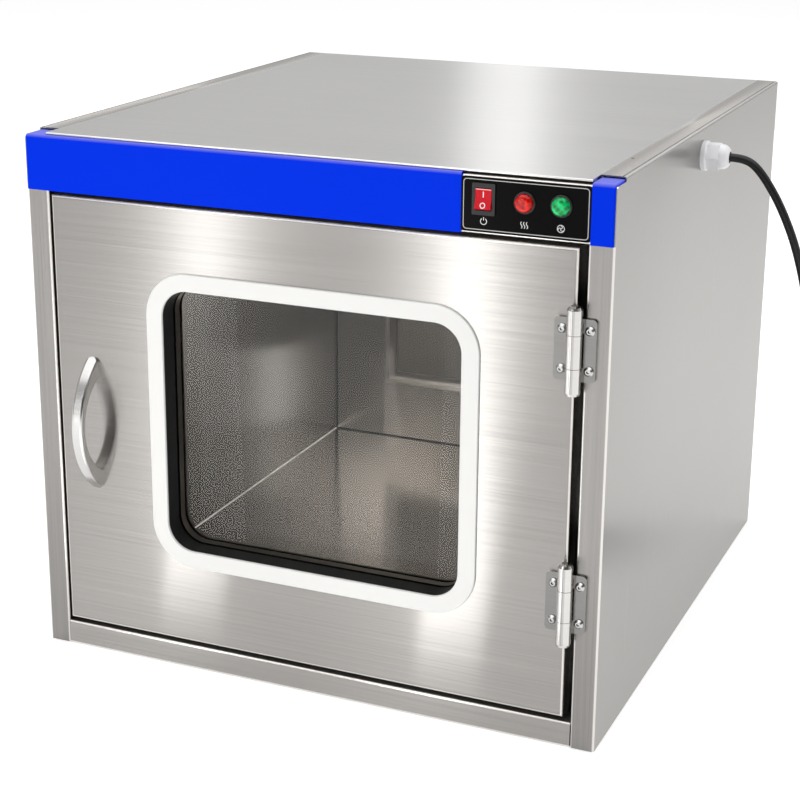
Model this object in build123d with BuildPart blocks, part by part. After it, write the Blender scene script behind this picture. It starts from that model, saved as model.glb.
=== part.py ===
from build123d import *
import os
from math import cos, pi, radians, sin, tan

# Stainless steel cleanroom pass box with one windowed door, a heater and a blower.
# Millimetres. X runs to the right seen from the door, Y to the rear, Z up.
# The origin is the middle of the footprint, on the surface that the cabinet stands on.

# ---- Cabinet --------------------------------------------------------------------------
cabinet_width = 600.0
cabinet_depth = 640.0          # front of the blue covers to the outside of the back panel
cabinet_height = 543.0
sheet = 1.2                    # stainless sheet of the cabinet and the door
bend_radius = 2.5              # outside radius of a fold
post_width = 24.0              # front face of each side panel
rail_height = 25.0             # front face of the bottom panel
header_height = 57.0           # blue band above the door
door_recess = 45.0             # depth of the recess that the door closes into
rear_flange = 24.0
cover_sheet = 2.0              # blue covers on the header
cover_bend = 3.0               # outside radius of the covers' front bend
cover_edge = 1.6               # rolled outer end of each cover
cover_inset = 1.2              # outer end of a cover inside the corner of the cabinet
cover_return = 28.0            # how far the covers run back over the header
top_flange = 23.0              # upper flange of each side panel
flange_seam = 3.4              # corner of the cabinet to the seam along the upper flange
seam_width = 0.9
seam_depth = 0.7
rivet_hole = 3.2
rivet_x = 281.0
rivet_setback = 112.0          # front of the cabinet to the open rivet hole
seam_ledge = 12.0              # joggled ledge that the top panel lies on
ledge_overlap = 2.0            # ledge under the upper flange
top_setback = 4.0              # front edge of the top panel behind the covers
top_hem = 12.0
back_margin = 0.5              # edge of the back panel inside the outline
back_corner = 2.0

# ---- Chamber --------------------------------------------------------------------------
chamber_width = 440.0
chamber_floor_z = 75.0
ceiling_drop = 28.0            # chamber ceiling below the header
filter_size = 305.0            # square face of the fine filter
filter_drop = 7.0              # top of the filter opening below the chamber ceiling
filter_recess = 12.0
filter_rim = 12.0              # flat frame round the screen
filter_thickness = 50.0
screen_thickness = 0.8
screen_margin = 1.0            # edge of the screen inside the filter opening
plenum_gap = 24.0              # air space behind the filter
plenum_clearance = 0.6         # plenum to the back panel

# ---- Door -----------------------------------------------------------------------------
door_gap_latch = 2.5
door_gap_hinge = 8.0
door_gap_top = 4.0
door_gap_bottom = 4.5
door_thickness = 39.0
door_edge_radius = 3.0
inner_pan_depth = 12.0
window_width = 312.0           # clear sight opening
window_height = 270.0
window_x = 5.0
window_sill = 100.5            # lower edge of the door to the sight opening
window_radius = 28.0
gasket_band = 17.5             # white frame round the opening
gasket_proud = 2.5
seal_wall = 7.0                # black glazing seal between skin and glass
glass_thickness = 4.0
glass_setback = 20.0
glass_spacing = 9.0            # air gap between the two panes
glass_bite = 4.0               # how far the panes sit in the seal
door_seal_width = 16.0
door_seal_inner = 6.0          # from the chamber opening to the seal
door_seal_corner = 4.0
door_seal_edge = 1.5
running_gap = 0.4              # clearance between door seal and stop frame
catch_width = 14.0
catch_height = 50.0
catch_depth = 4.5
strike_margin = 2.0            # strike plate larger than the catch
strike_thickness = 1.0
catch_corner = 2.0

# ---- Handle ---------------------------------------------------------------------------
handle_x = -233.0
handle_drop = 4.75             # middle of the handle below the middle of the door
handle_length = 140.0
handle_width = 12.5
handle_reach = 36.0            # door face to the outside of the bow
handle_bar = 8.0               # thickness of the bow
handle_foot = 22.0
handle_edge = 2.5              # rounded edges of the bow
handle_screw_depth = 3.0

# ---- Hinges ---------------------------------------------------------------------------
hinge_x = 268.5
hinge_standoff = 7.7           # pin axis in front of the steel face
hinge_barrel = 14.4
hinge_length = 76.0
hinge_middle = 31.0
hinge_play = 0.4               # gap between knuckles
hinge_pin = 6.0
hinge_cap = 3.5                # rounded end of the pin beyond the barrel
hinge_fit = 0.05               # radial running fit of the pin
hinge_leaf = 2.8
hinge_leaf_height = 58.0
hinge_leaf_radius = 4.0
door_leaf_edge = 248.5
frame_leaf_edge = 287.5
lower_hinge_rise = 118.5       # lower edge of the door to the middle of the lower hinge
upper_hinge_drop = 91.0        # upper edge of the door to the middle of the upper hinge
leaf_screw_pitch = 37.0
leaf_screw_head = 9.0
leaf_screw_height = 2.8
leaf_screw_shank = 4.0
leaf_screw_socket = 3.0        # across the flats of the hexagon
leaf_socket_depth = 1.6
door_screw_x = 255.8
frame_screw_x = 281.5

# ---- Control plate --------------------------------------------------------------------
plate_left = 158.0
plate_right = 278.0
plate_rise = 2.0               # lower edge of the header to the plate
plate_height = 49.5
plate_thickness = 1.5
plate_corner = 3.0
controls_rise = 32.0           # lower edge of the header to the controls
switch_x = 179.5
heater_lamp_x = 217.4
blower_lamp_x = 251.0
bezel_width = 21.5
bezel_height = 28.6
bezel_proud = 1.8
switch_body_width = 18.8
switch_body_height = 24.8
switch_body_depth = 24.0
switch_corner = 1.0
tab_width = 6.3
tab_thickness = 0.8
tab_length = 9.0
tab_pitch = 8.0
tab_count = 3
rocker_width = 15.0
rocker_radius = 10.0           # rounded ends, about the pivot
rocker_dish = 3.2              # pivot to the middle of the dished face
rocker_edge = 4.4              # pivot to the ends of the dished face
rocker_throw = 18.0            # degrees between on and off
rocker_gap = 0.3
rocker_pin = 2.0
rocker_pin_end = 0.8           # how far the pin stands out of the rocker
pin_hole_end = 1.0
rocker_fit = 0.05
lamp_bezel = 20.0
lamp_bezel_proud = 2.0
lamp_lens = 16.8
lamp_dome = 5.5
lamp_body = 12.0
lamp_body_depth = 26.0
lamp_seat = 1.0                # depth of the lens in its bezel
lamp_edge = 0.6

# ---- Air side -------------------------------------------------------------------------
blower_x = 0.0
blower_y = 30.0
scroll_radius = 82.0
scroll_growth = 7.0            # step between the quarter arcs of the scroll
scroll_height = 62.0
scroll_wall = 1.5
scroll_inlet = 88.0
outlet_width = 66.0
impeller_diameter = 120.0
impeller_height = 44.0
impeller_hub = 46.0
blade_count = 20
blade_thickness = 1.4
blade_width = 14.0
blade_curve = 16.0             # radius of the blades
blade_rise = 5.0
rim_margin = 0.5               # blades inside the rim of the disc
disc_lift = 3.0                # disc above the floor of the housing
disc_thickness = 1.5
hub_collar = 8.0
hub_gap = 4.0                  # cup of the hub above the motor
motor_diameter = 42.0
motor_height = 26.0
shaft_diameter = 6.0
shaft_length = 38.0
shaft_fit = 0.05
heater_bars = 3
heater_bar = 5.0
heater_fins = 7
heater_fin = 1.0
heater_depth = 30.0
thermostat_can = 16.0
thermostat_height = 11.0
thermostat_span = 24.0
thermostat_ear = 8.0
thermostat_ear_thickness = 1.0
thermostat_tab = 6.0
terminal_x = 190.0
terminal_poles = 5
terminal_pitch = 11.0
terminal_width = 22.0
terminal_base_height = 8.0
terminal_wall = 2.0
terminal_wall_height = 7.0
terminal_screw = 3.0
louvre_count = 5
louvre_pitch = 14.0
louvre_width = 60.0
louvre_slot = 5.0
louvre_group_x = 215.0
louvre_rise = 14.0             # chamber ceiling to the lowest slot
panel_screw_head = 7.0
panel_screw_height = 1.8
panel_screw_end = 40.0         # screws nearest to the top and the bottom
panel_screw_rows = 3
panel_screw_pitch = 150.0      # screws along the lower flange

# ---- Supply cord ----------------------------------------------------------------------
gland_y = -20.0
gland_rise = 29.0              # lower edge of the header to the gland
gland_flange = 30.0
gland_hex = 25.0
gland_thread = 18.0
gland_flange_depth = 5.5
gland_flange_edge = 2.0
gland_hex_depth = 11.5
gland_dome_depth = 10.0
gland_mouth = 14.0
gland_lip = 1.0
gland_inside = 12.0
locknut_hex = 24.0
locknut_depth = 5.0
cord_diameter = 8.5
coil_diameter = 92.0           # middle of the turns
coil_turns_across = 2
coil_layers = 2
plug_length = 42.0
plug_width = 36.0
plug_height = 26.0
plug_neck = 0.6                # share of the plug's width where the cord enters
pin_diameter = 4.8
pin_length = 19.0
pin_pitch = 19.0
pin_tip = 0.8

# ---- Derived places -------------------------------------------------------------------
half_width = cabinet_width / 2
front_y = -cabinet_depth / 2
back_y = cabinet_depth / 2
face_y = front_y + cover_sheet                     # steel faces of posts, rail and door
stop_y = face_y + door_recess
rear_y = back_y - sheet                            # rear flanges, under the back panel
opening_half = half_width - post_width
header_z = cabinet_height - header_height
cover_top = cabinet_height - 2 * sheet             # the hem of the top panel rests on it
header_top = cover_top - cover_sheet
top_edge = half_width - top_flange
cover_end_y = front_y + cover_return
chamber_half = chamber_width / 2
chamber_front_y = stop_y + sheet
chamber_ceiling_z = header_z - ceiling_drop
plenum_y = rear_y - plenum_clearance
filter_y = plenum_y - plenum_gap - filter_thickness
screen_y = filter_y - screen_thickness
chamber_back_y = screen_y - filter_recess - sheet
chamber_depth = chamber_back_y - chamber_front_y
filter_half = filter_size / 2
filter_top_z = chamber_ceiling_z - filter_drop
filter_sill_z = filter_top_z - filter_size

door_left = -opening_half + door_gap_latch
door_right = opening_half - door_gap_hinge
door_bottom = rail_height + door_gap_bottom
door_top = header_z - door_gap_top
door_back_y = face_y + door_thickness
door_mid_x = (door_left + door_right) / 2
door_mid_z = (door_bottom + door_top) / 2
door_width = door_right - door_left
door_height = door_top - door_bottom
window_z = door_bottom + window_sill + window_height / 2
handle_z = door_mid_z - handle_drop
hinge_heights = {"lower": door_bottom + lower_hinge_rise, "upper": door_top - upper_hinge_drop}
glass_y = face_y + glass_setback
inner_glass_y = glass_y + glass_thickness + glass_spacing

hinge_y = face_y - hinge_standoff
hinge_end = (hinge_length - hinge_middle) / 2
frame_mid_x = (hinge_x + frame_leaf_edge) / 2
plate_y = face_y - plate_thickness
plate_mid_x = (plate_left + plate_right) / 2
plate_mid_z = header_z + plate_rise + plate_height / 2
controls_z = header_z + controls_rise
gland_z = header_z + gland_rise
bezel_y = plate_y - bezel_proud
half_throw = rocker_throw / 2
compartment_z = chamber_ceiling_z + sheet          # floor of the space above the chamber

door_screw_places = [(door_screw_x, hinge_z + side * leaf_screw_pitch / 2)
                     for hinge_z in hinge_heights.values() for side in (-1, 1)]
frame_screw_places = [(frame_screw_x, hinge_z + side * leaf_screw_pitch / 2)
                      for hinge_z in hinge_heights.values() for side in (-1, 1)]
handle_screw_places = [(handle_x, handle_z + side * (handle_length - handle_foot) / 2)
                       for side in (-1, 1)]

os.makedirs("parts", exist_ok=True)
nodes = {}


def finish(name, piece):
    """Name a finished piece and keep it for export."""
    piece.part.label = name
    nodes[name] = piece.part


def at_y(y):
    """Upright plane facing the rear, at depth y: local x is X reversed, local y is Z."""
    return Plane(origin=(0, y, 0), x_dir=(-1, 0, 0), z_dir=(0, 1, 0))


def at_front(y):
    """Upright plane facing the front, at depth y: local x is X, local y is Z."""
    return Plane(origin=(0, y, 0), x_dir=(1, 0, 0), z_dir=(0, -1, 0))


def folded(points, radius=bend_radius):
    """Section of folded sheet along the middle line of the sheet, in the open sketch."""
    with BuildLine() as path:
        FilletPolyline(*points, radius=radius - sheet / 2)
    trace(path.line, line_width=sheet)


# ---- Side panels ----------------------------------------------------------------------
def side_panel(side):
    """Post, side, rear flange and top flange folded from one sheet; side is -1 or 1."""
    middle = side * (half_width - sheet / 2)
    inner = side * (opening_half + sheet / 2)
    flange_end = side * (half_width - rear_flange)
    front_mid = face_y + sheet / 2
    rear_mid = rear_y - sheet / 2
    web_x = half_width - sheet if side > 0 else -half_width
    with BuildPart() as panel:
        with BuildSketch():
            folded([(inner, stop_y), (inner, front_mid), (middle, front_mid),
                    (middle, rear_mid), (flange_end, rear_mid)])
        extrude(amount=header_z)
        with BuildSketch(Plane.YZ.offset(web_x)):
            with Locations((face_y, header_z)):
                Rectangle(rear_y - bend_radius - face_y, header_top - header_z, align=Align.MIN)
            corner = vertices().group_by(Axis.Y)[-1].sort_by(Axis.X)[0]
            fillet(corner, radius=bend_radius)
        extrude(amount=sheet)
        with BuildSketch(Plane.XY.offset(header_z)):
            folded([(middle, rear_y - 3 * bend_radius), (middle, rear_mid), (flange_end, rear_mid)])
        extrude(amount=header_top - header_z)
        with BuildSketch(at_front(rear_y)):
            top_mid = cabinet_height - sheet / 2
            folded([(side * top_edge, top_mid), (middle, top_mid), (middle, header_z)])
        extrude(amount=rear_y - cover_end_y)
        with BuildSketch(at_front(rear_y)):
            ledge_x = side * (top_edge + (ledge_overlap - seam_ledge) / 2)
            with Locations((ledge_x, cabinet_height - 1.5 * sheet)):
                Rectangle(seam_ledge + ledge_overlap, sheet)
        extrude(amount=rear_y - cover_end_y)
        with BuildSketch(at_front(rear_y)):
            with Locations((side * (half_width - flange_seam), cabinet_height)):
                Rectangle(seam_width, 2 * seam_depth)
        extrude(amount=rear_y - cover_end_y, mode=Mode.SUBTRACT)
        with BuildSketch():
            with Locations((side * (opening_half + post_width / 2), (face_y + rear_y) / 2)):
                Rectangle(post_width - 2 * sheet, rear_y - face_y - 2 * sheet)
        extrude(amount=sheet)
    return panel


left_side_panel = side_panel(-1)
finish("left_side_panel", left_side_panel)

right_side_panel = side_panel(1)
with BuildPart() as bored_side_panel:
    add(right_side_panel.part)
    with BuildSketch(Plane.YZ.offset(half_width - 2 * sheet)):
        with Locations((gland_y, gland_z)):
            Circle(gland_thread / 2)
    extrude(amount=3 * sheet, mode=Mode.SUBTRACT)
    with BuildSketch(at_front(face_y + 2 * sheet)):
        with Locations(*frame_screw_places):
            Circle(leaf_screw_shank / 2)
    extrude(amount=3 * sheet, mode=Mode.SUBTRACT)
    with BuildSketch(Plane.XY.offset(cabinet_height)):
        with Locations((rivet_x, front_y + rivet_setback)):
            Circle(rivet_hole / 2)
    extrude(amount=-sheet, mode=Mode.SUBTRACT)
finish("right_side_panel", bored_side_panel)

# ---- Bottom, top, back and header -----------------------------------------------------
with BuildPart() as bottom_panel:
    with BuildSketch(Plane.YZ.offset(-opening_half)):
        rail_mid = rail_height - sheet / 2
        folded([(stop_y, rail_mid), (face_y + sheet / 2, rail_mid), (face_y + sheet / 2, sheet / 2),
                (rear_y - sheet / 2, sheet / 2), (rear_y - sheet / 2, rear_flange)])
    extrude(amount=2 * opening_half)
finish("bottom_panel", bottom_panel)

with BuildPart() as top_panel:
    with BuildSketch(Plane.YZ.offset(-top_edge)):
        top_front = front_y + top_setback + sheet
        folded([(rear_y, cabinet_height - sheet / 2), (top_front, cabinet_height - sheet / 2),
                (top_front - sheet / 2, cabinet_height - sheet)], radius=0.9 * sheet)
        with Locations((top_front, cabinet_height - sheet)):
            Rectangle(top_hem, sheet, align=(Align.MIN, Align.MAX))
            Circle(sheet)
        with Locations((top_front + top_hem / 2, cabinet_height - 1.5 * sheet)):
            Rectangle(top_hem, sheet)
    extrude(amount=2 * top_edge)
finish("top_panel", top_panel)

with BuildPart() as header_rail:
    with BuildSketch(Plane.YZ.offset(-half_width + sheet)):
        folded([(stop_y, header_z + sheet / 2), (face_y + sheet / 2, header_z + sheet / 2),
                (face_y + sheet / 2, header_top - sheet / 2), (cover_end_y, header_top - sheet / 2)])
    extrude(amount=2 * (half_width - sheet))
    with BuildSketch(at_front(face_y + 2 * sheet)):
        with Locations((switch_x, controls_z)):
            Rectangle(switch_body_width, switch_body_height)
        with Locations((heater_lamp_x, controls_z), (blower_lamp_x, controls_z)):
            Circle(lamp_body / 2)
    extrude(amount=3 * sheet, mode=Mode.SUBTRACT)
finish("header_rail", header_rail)


def fascia_cover(inner_x, side):
    """Blue cover over the front and the top of the header, from inner_x to the corner on side."""
    outer_x = side * (half_width - cover_inset)
    left = min(inner_x, outer_x)
    cover_width = abs(outer_x - inner_x)
    with BuildPart() as cover:
        with BuildSketch(Plane.YZ.offset(left)):
            with Locations((front_y, header_z)):
                Rectangle(cover_return, cover_top - header_z, align=Align.MIN)
        extrude(amount=cover_width)
        front_edges = edges().filter_by(Axis.X).group_by(Axis.Y)[0]
        fillet(front_edges.sort_by(Axis.Z)[-1], radius=cover_bend)
        end_face = faces().filter_by(Axis.X).sort_by(Axis.X)[-1 if side > 0 else 0]
        rim = [edge for edge in end_face.edges()
               if edge.center().Z > header_z and edge.center().Y < cover_end_y]
        fillet(rim, radius=cover_edge)
        with BuildSketch(Plane.YZ.offset(left)):
            with Locations((face_y, header_z)):
                Rectangle(cover_return, header_top - header_z, align=Align.MIN)
            corner = vertices().group_by(Axis.Y)[-1].sort_by(Axis.X)[0]
            fillet(corner, radius=cover_bend - cover_sheet)
        extrude(amount=cover_width, mode=Mode.SUBTRACT)
    return cover


fascia_cover_left = fascia_cover(plate_left, -1)
finish("fascia_cover_left", fascia_cover_left)
fascia_cover_right = fascia_cover(plate_right, 1)
finish("fascia_cover_right", fascia_cover_right)

louvre_z = chamber_ceiling_z + louvre_rise
louvre_places = [(side * louvre_group_x, louvre_z + row * louvre_pitch)
                 for side in (-1, 1) for row in range(louvre_count)]
screw_row_step = (cabinet_height - 2 * panel_screw_end) / (panel_screw_rows - 1)
panel_screw_places = [(side * (half_width - rear_flange / 2), panel_screw_end + row * screw_row_step)
                      for side in (-1, 1) for row in range(panel_screw_rows)]
panel_screw_places += [(side * panel_screw_pitch / 2, rear_flange / 2) for side in (-1, 1)]

with BuildPart() as back_panel:
    with BuildSketch(at_y(rear_y)):
        with Locations((0, cabinet_height / 2)):
            RectangleRounded(cabinet_width - 2 * back_margin, cabinet_height - 2 * back_margin,
                             back_corner)
        with Locations(*louvre_places):
            SlotOverall(louvre_width, louvre_slot, mode=Mode.SUBTRACT)
    extrude(amount=sheet)
finish("back_panel", back_panel)

with BuildPart() as back_screws:
    with BuildSketch(at_y(back_y)):
        with Locations(*panel_screw_places):
            Circle(panel_screw_head / 2)
    extrude(amount=panel_screw_height)
    chamfer(edges().group_by(Axis.Y)[-1], length=panel_screw_height / 2)
finish("back_screws", back_screws)

# ---- Stop frame and chamber -----------------------------------------------------------
chamber_height = chamber_ceiling_z - chamber_floor_z
chamber_mid_z = (chamber_ceiling_z + chamber_floor_z) / 2

with BuildPart() as stop_frame:
    with BuildSketch(at_y(stop_y)):
        with Locations((0, (rail_height + header_z) / 2)):
            Rectangle(2 * (opening_half + sheet), header_z - rail_height + 2 * sheet)
        with Locations((0, chamber_mid_z)):
            Rectangle(chamber_width, chamber_height, mode=Mode.SUBTRACT)
    extrude(amount=sheet)
finish("stop_frame", stop_frame)

with BuildPart() as chamber_floor:
    with BuildSketch(Plane.XY.offset(chamber_floor_z - sheet)):
        with Locations((0, chamber_front_y)):
            Rectangle(chamber_width, chamber_depth, align=(Align.CENTER, Align.MIN))
    extrude(amount=sheet)
finish("chamber_floor", chamber_floor)

with BuildPart() as chamber_ceiling:
    with BuildSketch(Plane.XY.offset(chamber_ceiling_z)):
        with Locations((0, chamber_front_y)):
            Rectangle(chamber_width, chamber_depth, align=(Align.CENTER, Align.MIN))
    extrude(amount=sheet)
finish("chamber_ceiling", chamber_ceiling)

for side, name in ((-1, "chamber_left_wall"), (1, "chamber_right_wall")):
    with BuildPart() as chamber_wall:
        with BuildSketch(Plane.XY.offset(chamber_floor_z - sheet)):
            with Locations((side * (chamber_half + sheet / 2), chamber_front_y)):
                Rectangle(sheet, chamber_depth, align=(Align.CENTER, Align.MIN))
        extrude(amount=chamber_height + 2 * sheet)
    finish(name, chamber_wall)

for side, name in ((-1, "chamber_back_left"), (1, "chamber_back_right")):
    strip = chamber_half + sheet - filter_half
    with BuildPart() as back_strip:
        with BuildSketch(at_front(chamber_back_y + sheet)):
            with Locations((side * (filter_half + strip / 2), chamber_mid_z)):
                Rectangle(strip, chamber_height + 2 * sheet)
        extrude(amount=sheet)
    finish(name, back_strip)

with BuildPart() as chamber_back_centre:
    with BuildSketch(at_front(chamber_back_y + sheet)):
        with Locations((0, chamber_mid_z)):
            Rectangle(filter_size, chamber_height + 2 * sheet)
        with Locations((0, (filter_sill_z + filter_top_z) / 2)):
            Rectangle(filter_size - 2 * sheet, filter_size, mode=Mode.SUBTRACT)
    extrude(amount=sheet)
finish("chamber_back_centre", chamber_back_centre)

filter_mid_z = filter_sill_z + filter_half
with BuildPart() as filter_frame:
    with BuildSketch(at_y(chamber_back_y + sheet)):
        with Locations((0, filter_mid_z)):
            Rectangle(filter_size, filter_size)
            Rectangle(filter_size - 2 * sheet, filter_size - 2 * sheet, mode=Mode.SUBTRACT)
    extrude(amount=filter_recess)
    with BuildSketch(at_front(screen_y)):
        with Locations((0, filter_mid_z)):
            Rectangle(filter_size, filter_size)
            Rectangle(filter_size - 2 * filter_rim, filter_size - 2 * filter_rim, mode=Mode.SUBTRACT)
    extrude(amount=sheet)
finish("filter_frame", filter_frame)

with BuildPart() as filter_screen:
    with BuildSketch(at_y(screen_y)):
        with Locations((0, filter_mid_z)):
            Rectangle(filter_size - 2 * screen_margin, filter_size - 2 * screen_margin)
    extrude(amount=screen_thickness)
finish("filter_screen", filter_screen)

with BuildPart() as fine_filter:
    with BuildSketch(at_y(filter_y)):
        with Locations((0, filter_mid_z)):
            Rectangle(filter_size, filter_size)
    extrude(amount=filter_thickness)
finish("fine_filter", fine_filter)

# ---- Air side -------------------------------------------------------------------------
plenum_front_y = chamber_back_y + sheet
plenum_bottom = filter_sill_z - sheet
plenum_top = compartment_z + scroll_height + 2 * sheet
outlet_x = blower_x + scroll_radius + 3 * scroll_growth
outlet_y = blower_y + scroll_radius + 2 * scroll_growth
duct_mid_x = outlet_x - outlet_width / 2
duct_mid_z = compartment_z + scroll_height / 2

with BuildPart() as supply_plenum:
    box_height = plenum_top - plenum_bottom
    box_mid_z = (plenum_top + plenum_bottom) / 2
    with BuildSketch(at_y(plenum_front_y)):
        with Locations((0, box_mid_z)):
            Rectangle(filter_size + 2 * sheet, box_height)
    extrude(amount=plenum_y - plenum_front_y)
    with BuildSketch(at_y(plenum_front_y)):
        with Locations((0, box_mid_z)):
            Rectangle(filter_size, box_height - 2 * sheet)
    extrude(amount=plenum_y - plenum_front_y - sheet, mode=Mode.SUBTRACT)
    with BuildSketch(at_y(plenum_front_y)):
        with Locations((0, (compartment_z + plenum_top) / 2)):
            Rectangle(filter_size, plenum_top - compartment_z)
        with Locations((-duct_mid_x, duct_mid_z)):
            Rectangle(outlet_width - 2 * sheet, scroll_height - 2 * sheet, mode=Mode.SUBTRACT)
    extrude(amount=sheet)
    with BuildSketch(at_y(outlet_y)):
        with Locations((-duct_mid_x, duct_mid_z)):
            Rectangle(outlet_width, scroll_height)
            Rectangle(outlet_width - 2 * sheet, scroll_height - 2 * sheet, mode=Mode.SUBTRACT)
    extrude(amount=plenum_front_y - outlet_y)
finish("supply_plenum", supply_plenum)


def scroll_outline(inset):
    """Scroll of quarter arcs with a straight outlet, drawn round the shaft."""
    inner = scroll_radius - inset
    step = scroll_growth
    far_x = inner + 3 * step
    near_x = far_x + 2 * inset - outlet_width
    end_y = outlet_y - blower_y
    with BuildLine() as outline:
        CenterArc((0, 0), inner, 90, 90)
        CenterArc((step, 0), inner + step, 180, 90)
        CenterArc((step, step), inner + 2 * step, 270, 90)
        Polyline((far_x, step), (far_x, end_y), (near_x, end_y), (near_x, inner), (0, inner))
    make_face(outline.edges())


scroll_base = Plane(origin=(blower_x, blower_y, compartment_z))
with BuildPart() as blower_housing:
    with BuildSketch(scroll_base):
        scroll_outline(0)
    extrude(amount=scroll_height)
    with BuildSketch(scroll_base.offset(scroll_wall)):
        scroll_outline(scroll_wall)
    extrude(amount=scroll_height - 2 * scroll_wall, mode=Mode.SUBTRACT)
    with BuildSketch(scroll_base.offset(scroll_height)):
        Circle(scroll_inlet / 2)
    extrude(amount=-scroll_wall, mode=Mode.SUBTRACT)
finish("blower_housing", blower_housing)

motor_base = scroll_base.offset(scroll_wall)
with BuildPart() as blower_motor:
    with BuildSketch(motor_base):
        Circle(motor_diameter / 2)
    extrude(amount=motor_height)
    with BuildSketch(motor_base):
        Circle(shaft_diameter / 2)
    extrude(amount=shaft_length)
finish("blower_motor", blower_motor)

impeller_radius = impeller_diameter / 2
blade_outer = impeller_radius - rim_margin
with BuildSketch() as blade_section:
    with BuildLine():
        RadiusArc((blade_outer - blade_width, 0), (blade_outer - rim_margin, blade_rise), -blade_curve)
    trace(line_width=blade_thickness)

disc_top = disc_lift + disc_thickness
ring_z = disc_top + impeller_height - scroll_wall
cup_outer = impeller_hub / 2 + disc_thickness
cup_z = motor_height + hub_gap
bore = shaft_diameter / 2 + shaft_fit
hub_plane = Plane(origin=(blower_x, blower_y, motor_base.origin.Z), x_dir=(1, 0, 0), z_dir=(0, -1, 0))
with BuildPart() as impeller:
    with BuildSketch(hub_plane):
        with BuildLine():
            Polyline((bore, shaft_length), (hub_collar, shaft_length),
                     (hub_collar, cup_z + disc_thickness), (cup_outer, cup_z + disc_thickness),
                     (cup_outer, disc_top), (impeller_radius, disc_top),
                     (impeller_radius, disc_lift), (impeller_hub / 2, disc_lift),
                     (impeller_hub / 2, cup_z), (bore, cup_z), close=True)
        make_face()
    revolve(axis=Axis((blower_x, blower_y, 0), (0, 0, 1)))
    with BuildSketch(motor_base.offset(disc_top)):
        with PolarLocations(0, blade_count):
            add(blade_section.sketch)
    extrude(amount=ring_z - disc_top)
    with BuildSketch(motor_base.offset(ring_z)):
        Circle(impeller_radius)
        Circle(impeller_radius - blade_width - disc_thickness, mode=Mode.SUBTRACT)
    extrude(amount=disc_thickness)
finish("impeller", impeller)

duct_inside = outlet_width - 2 * sheet
duct_inside_height = scroll_height - 2 * sheet
heater_mid_y = (outlet_y + plenum_front_y) / 2
with BuildPart() as heater_element:
    with BuildSketch(at_y(heater_mid_y - heater_depth / 2)):
        with Locations((-duct_mid_x, duct_mid_z)):
            with GridLocations(duct_inside, (duct_inside_height - heater_bar) / (heater_bars - 1),
                               1, heater_bars):
                Rectangle(duct_inside, heater_bar)
            with GridLocations((duct_inside - heater_fin) / (heater_fins - 1), duct_inside_height,
                               heater_fins, 1):
                Rectangle(heater_fin, duct_inside_height)
    extrude(amount=heater_depth)
finish("heater_element", heater_element)

thermostat_base = Plane(origin=(duct_mid_x, heater_mid_y, compartment_z + scroll_height))
with BuildPart() as thermostat:
    with BuildSketch(thermostat_base):
        SlotCenterToCenter(thermostat_span, thermostat_ear)
    extrude(amount=thermostat_ear_thickness)
    with BuildSketch(thermostat_base):
        Circle(thermostat_can / 2)
    extrude(amount=thermostat_height)
    with BuildSketch(thermostat_base.offset(thermostat_height)):
        with GridLocations(thermostat_can / 2, tab_width, 2, 1):
            Rectangle(tab_thickness, tab_width)
    extrude(amount=thermostat_tab)
finish("thermostat", thermostat)

terminal_base = Plane(origin=(terminal_x, gland_y, compartment_z))
terminal_top = terminal_base.offset(terminal_base_height)
with BuildPart() as terminal_block:
    with BuildSketch(terminal_base):
        Rectangle(terminal_width, terminal_poles * terminal_pitch + terminal_wall)
    extrude(amount=terminal_base_height)
    with BuildSketch(terminal_top):
        with GridLocations(terminal_width, terminal_pitch, 1, terminal_poles + 1):
            Rectangle(terminal_width, terminal_wall)
    extrude(amount=terminal_wall_height)
    with BuildSketch(terminal_top):
        with GridLocations(terminal_width / 2, terminal_pitch, 2, terminal_poles):
            RegularPolygon(terminal_screw, 6)
    extrude(amount=terminal_screw)
finish("terminal_block", terminal_block)

# ---- Control plate, switch and lamps --------------------------------------------------
with BuildPart() as control_plate:
    with BuildSketch(at_front(face_y)):
        with Locations((plate_mid_x, plate_mid_z)):
            RectangleRounded(plate_right - plate_left, plate_height, plate_corner)
        with Locations((switch_x, controls_z)):
            Rectangle(switch_body_width, switch_body_height, mode=Mode.SUBTRACT)
        with Locations((heater_lamp_x, controls_z), (blower_lamp_x, controls_z)):
            Circle(lamp_body / 2, mode=Mode.SUBTRACT)
    extrude(amount=plate_thickness)
finish("control_plate", control_plate)

# The pivot lies so deep that the pressed end of the rocker is level with the bezel.
edge_reach = (rocker_radius ** 2 - rocker_edge ** 2) ** 0.5
pressed_reach = rocker_edge * cos(radians(half_throw)) - edge_reach * sin(radians(half_throw))
pivot_y = bezel_y + pressed_reach
pocket_width = rocker_width + 2 * rocker_gap

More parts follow.
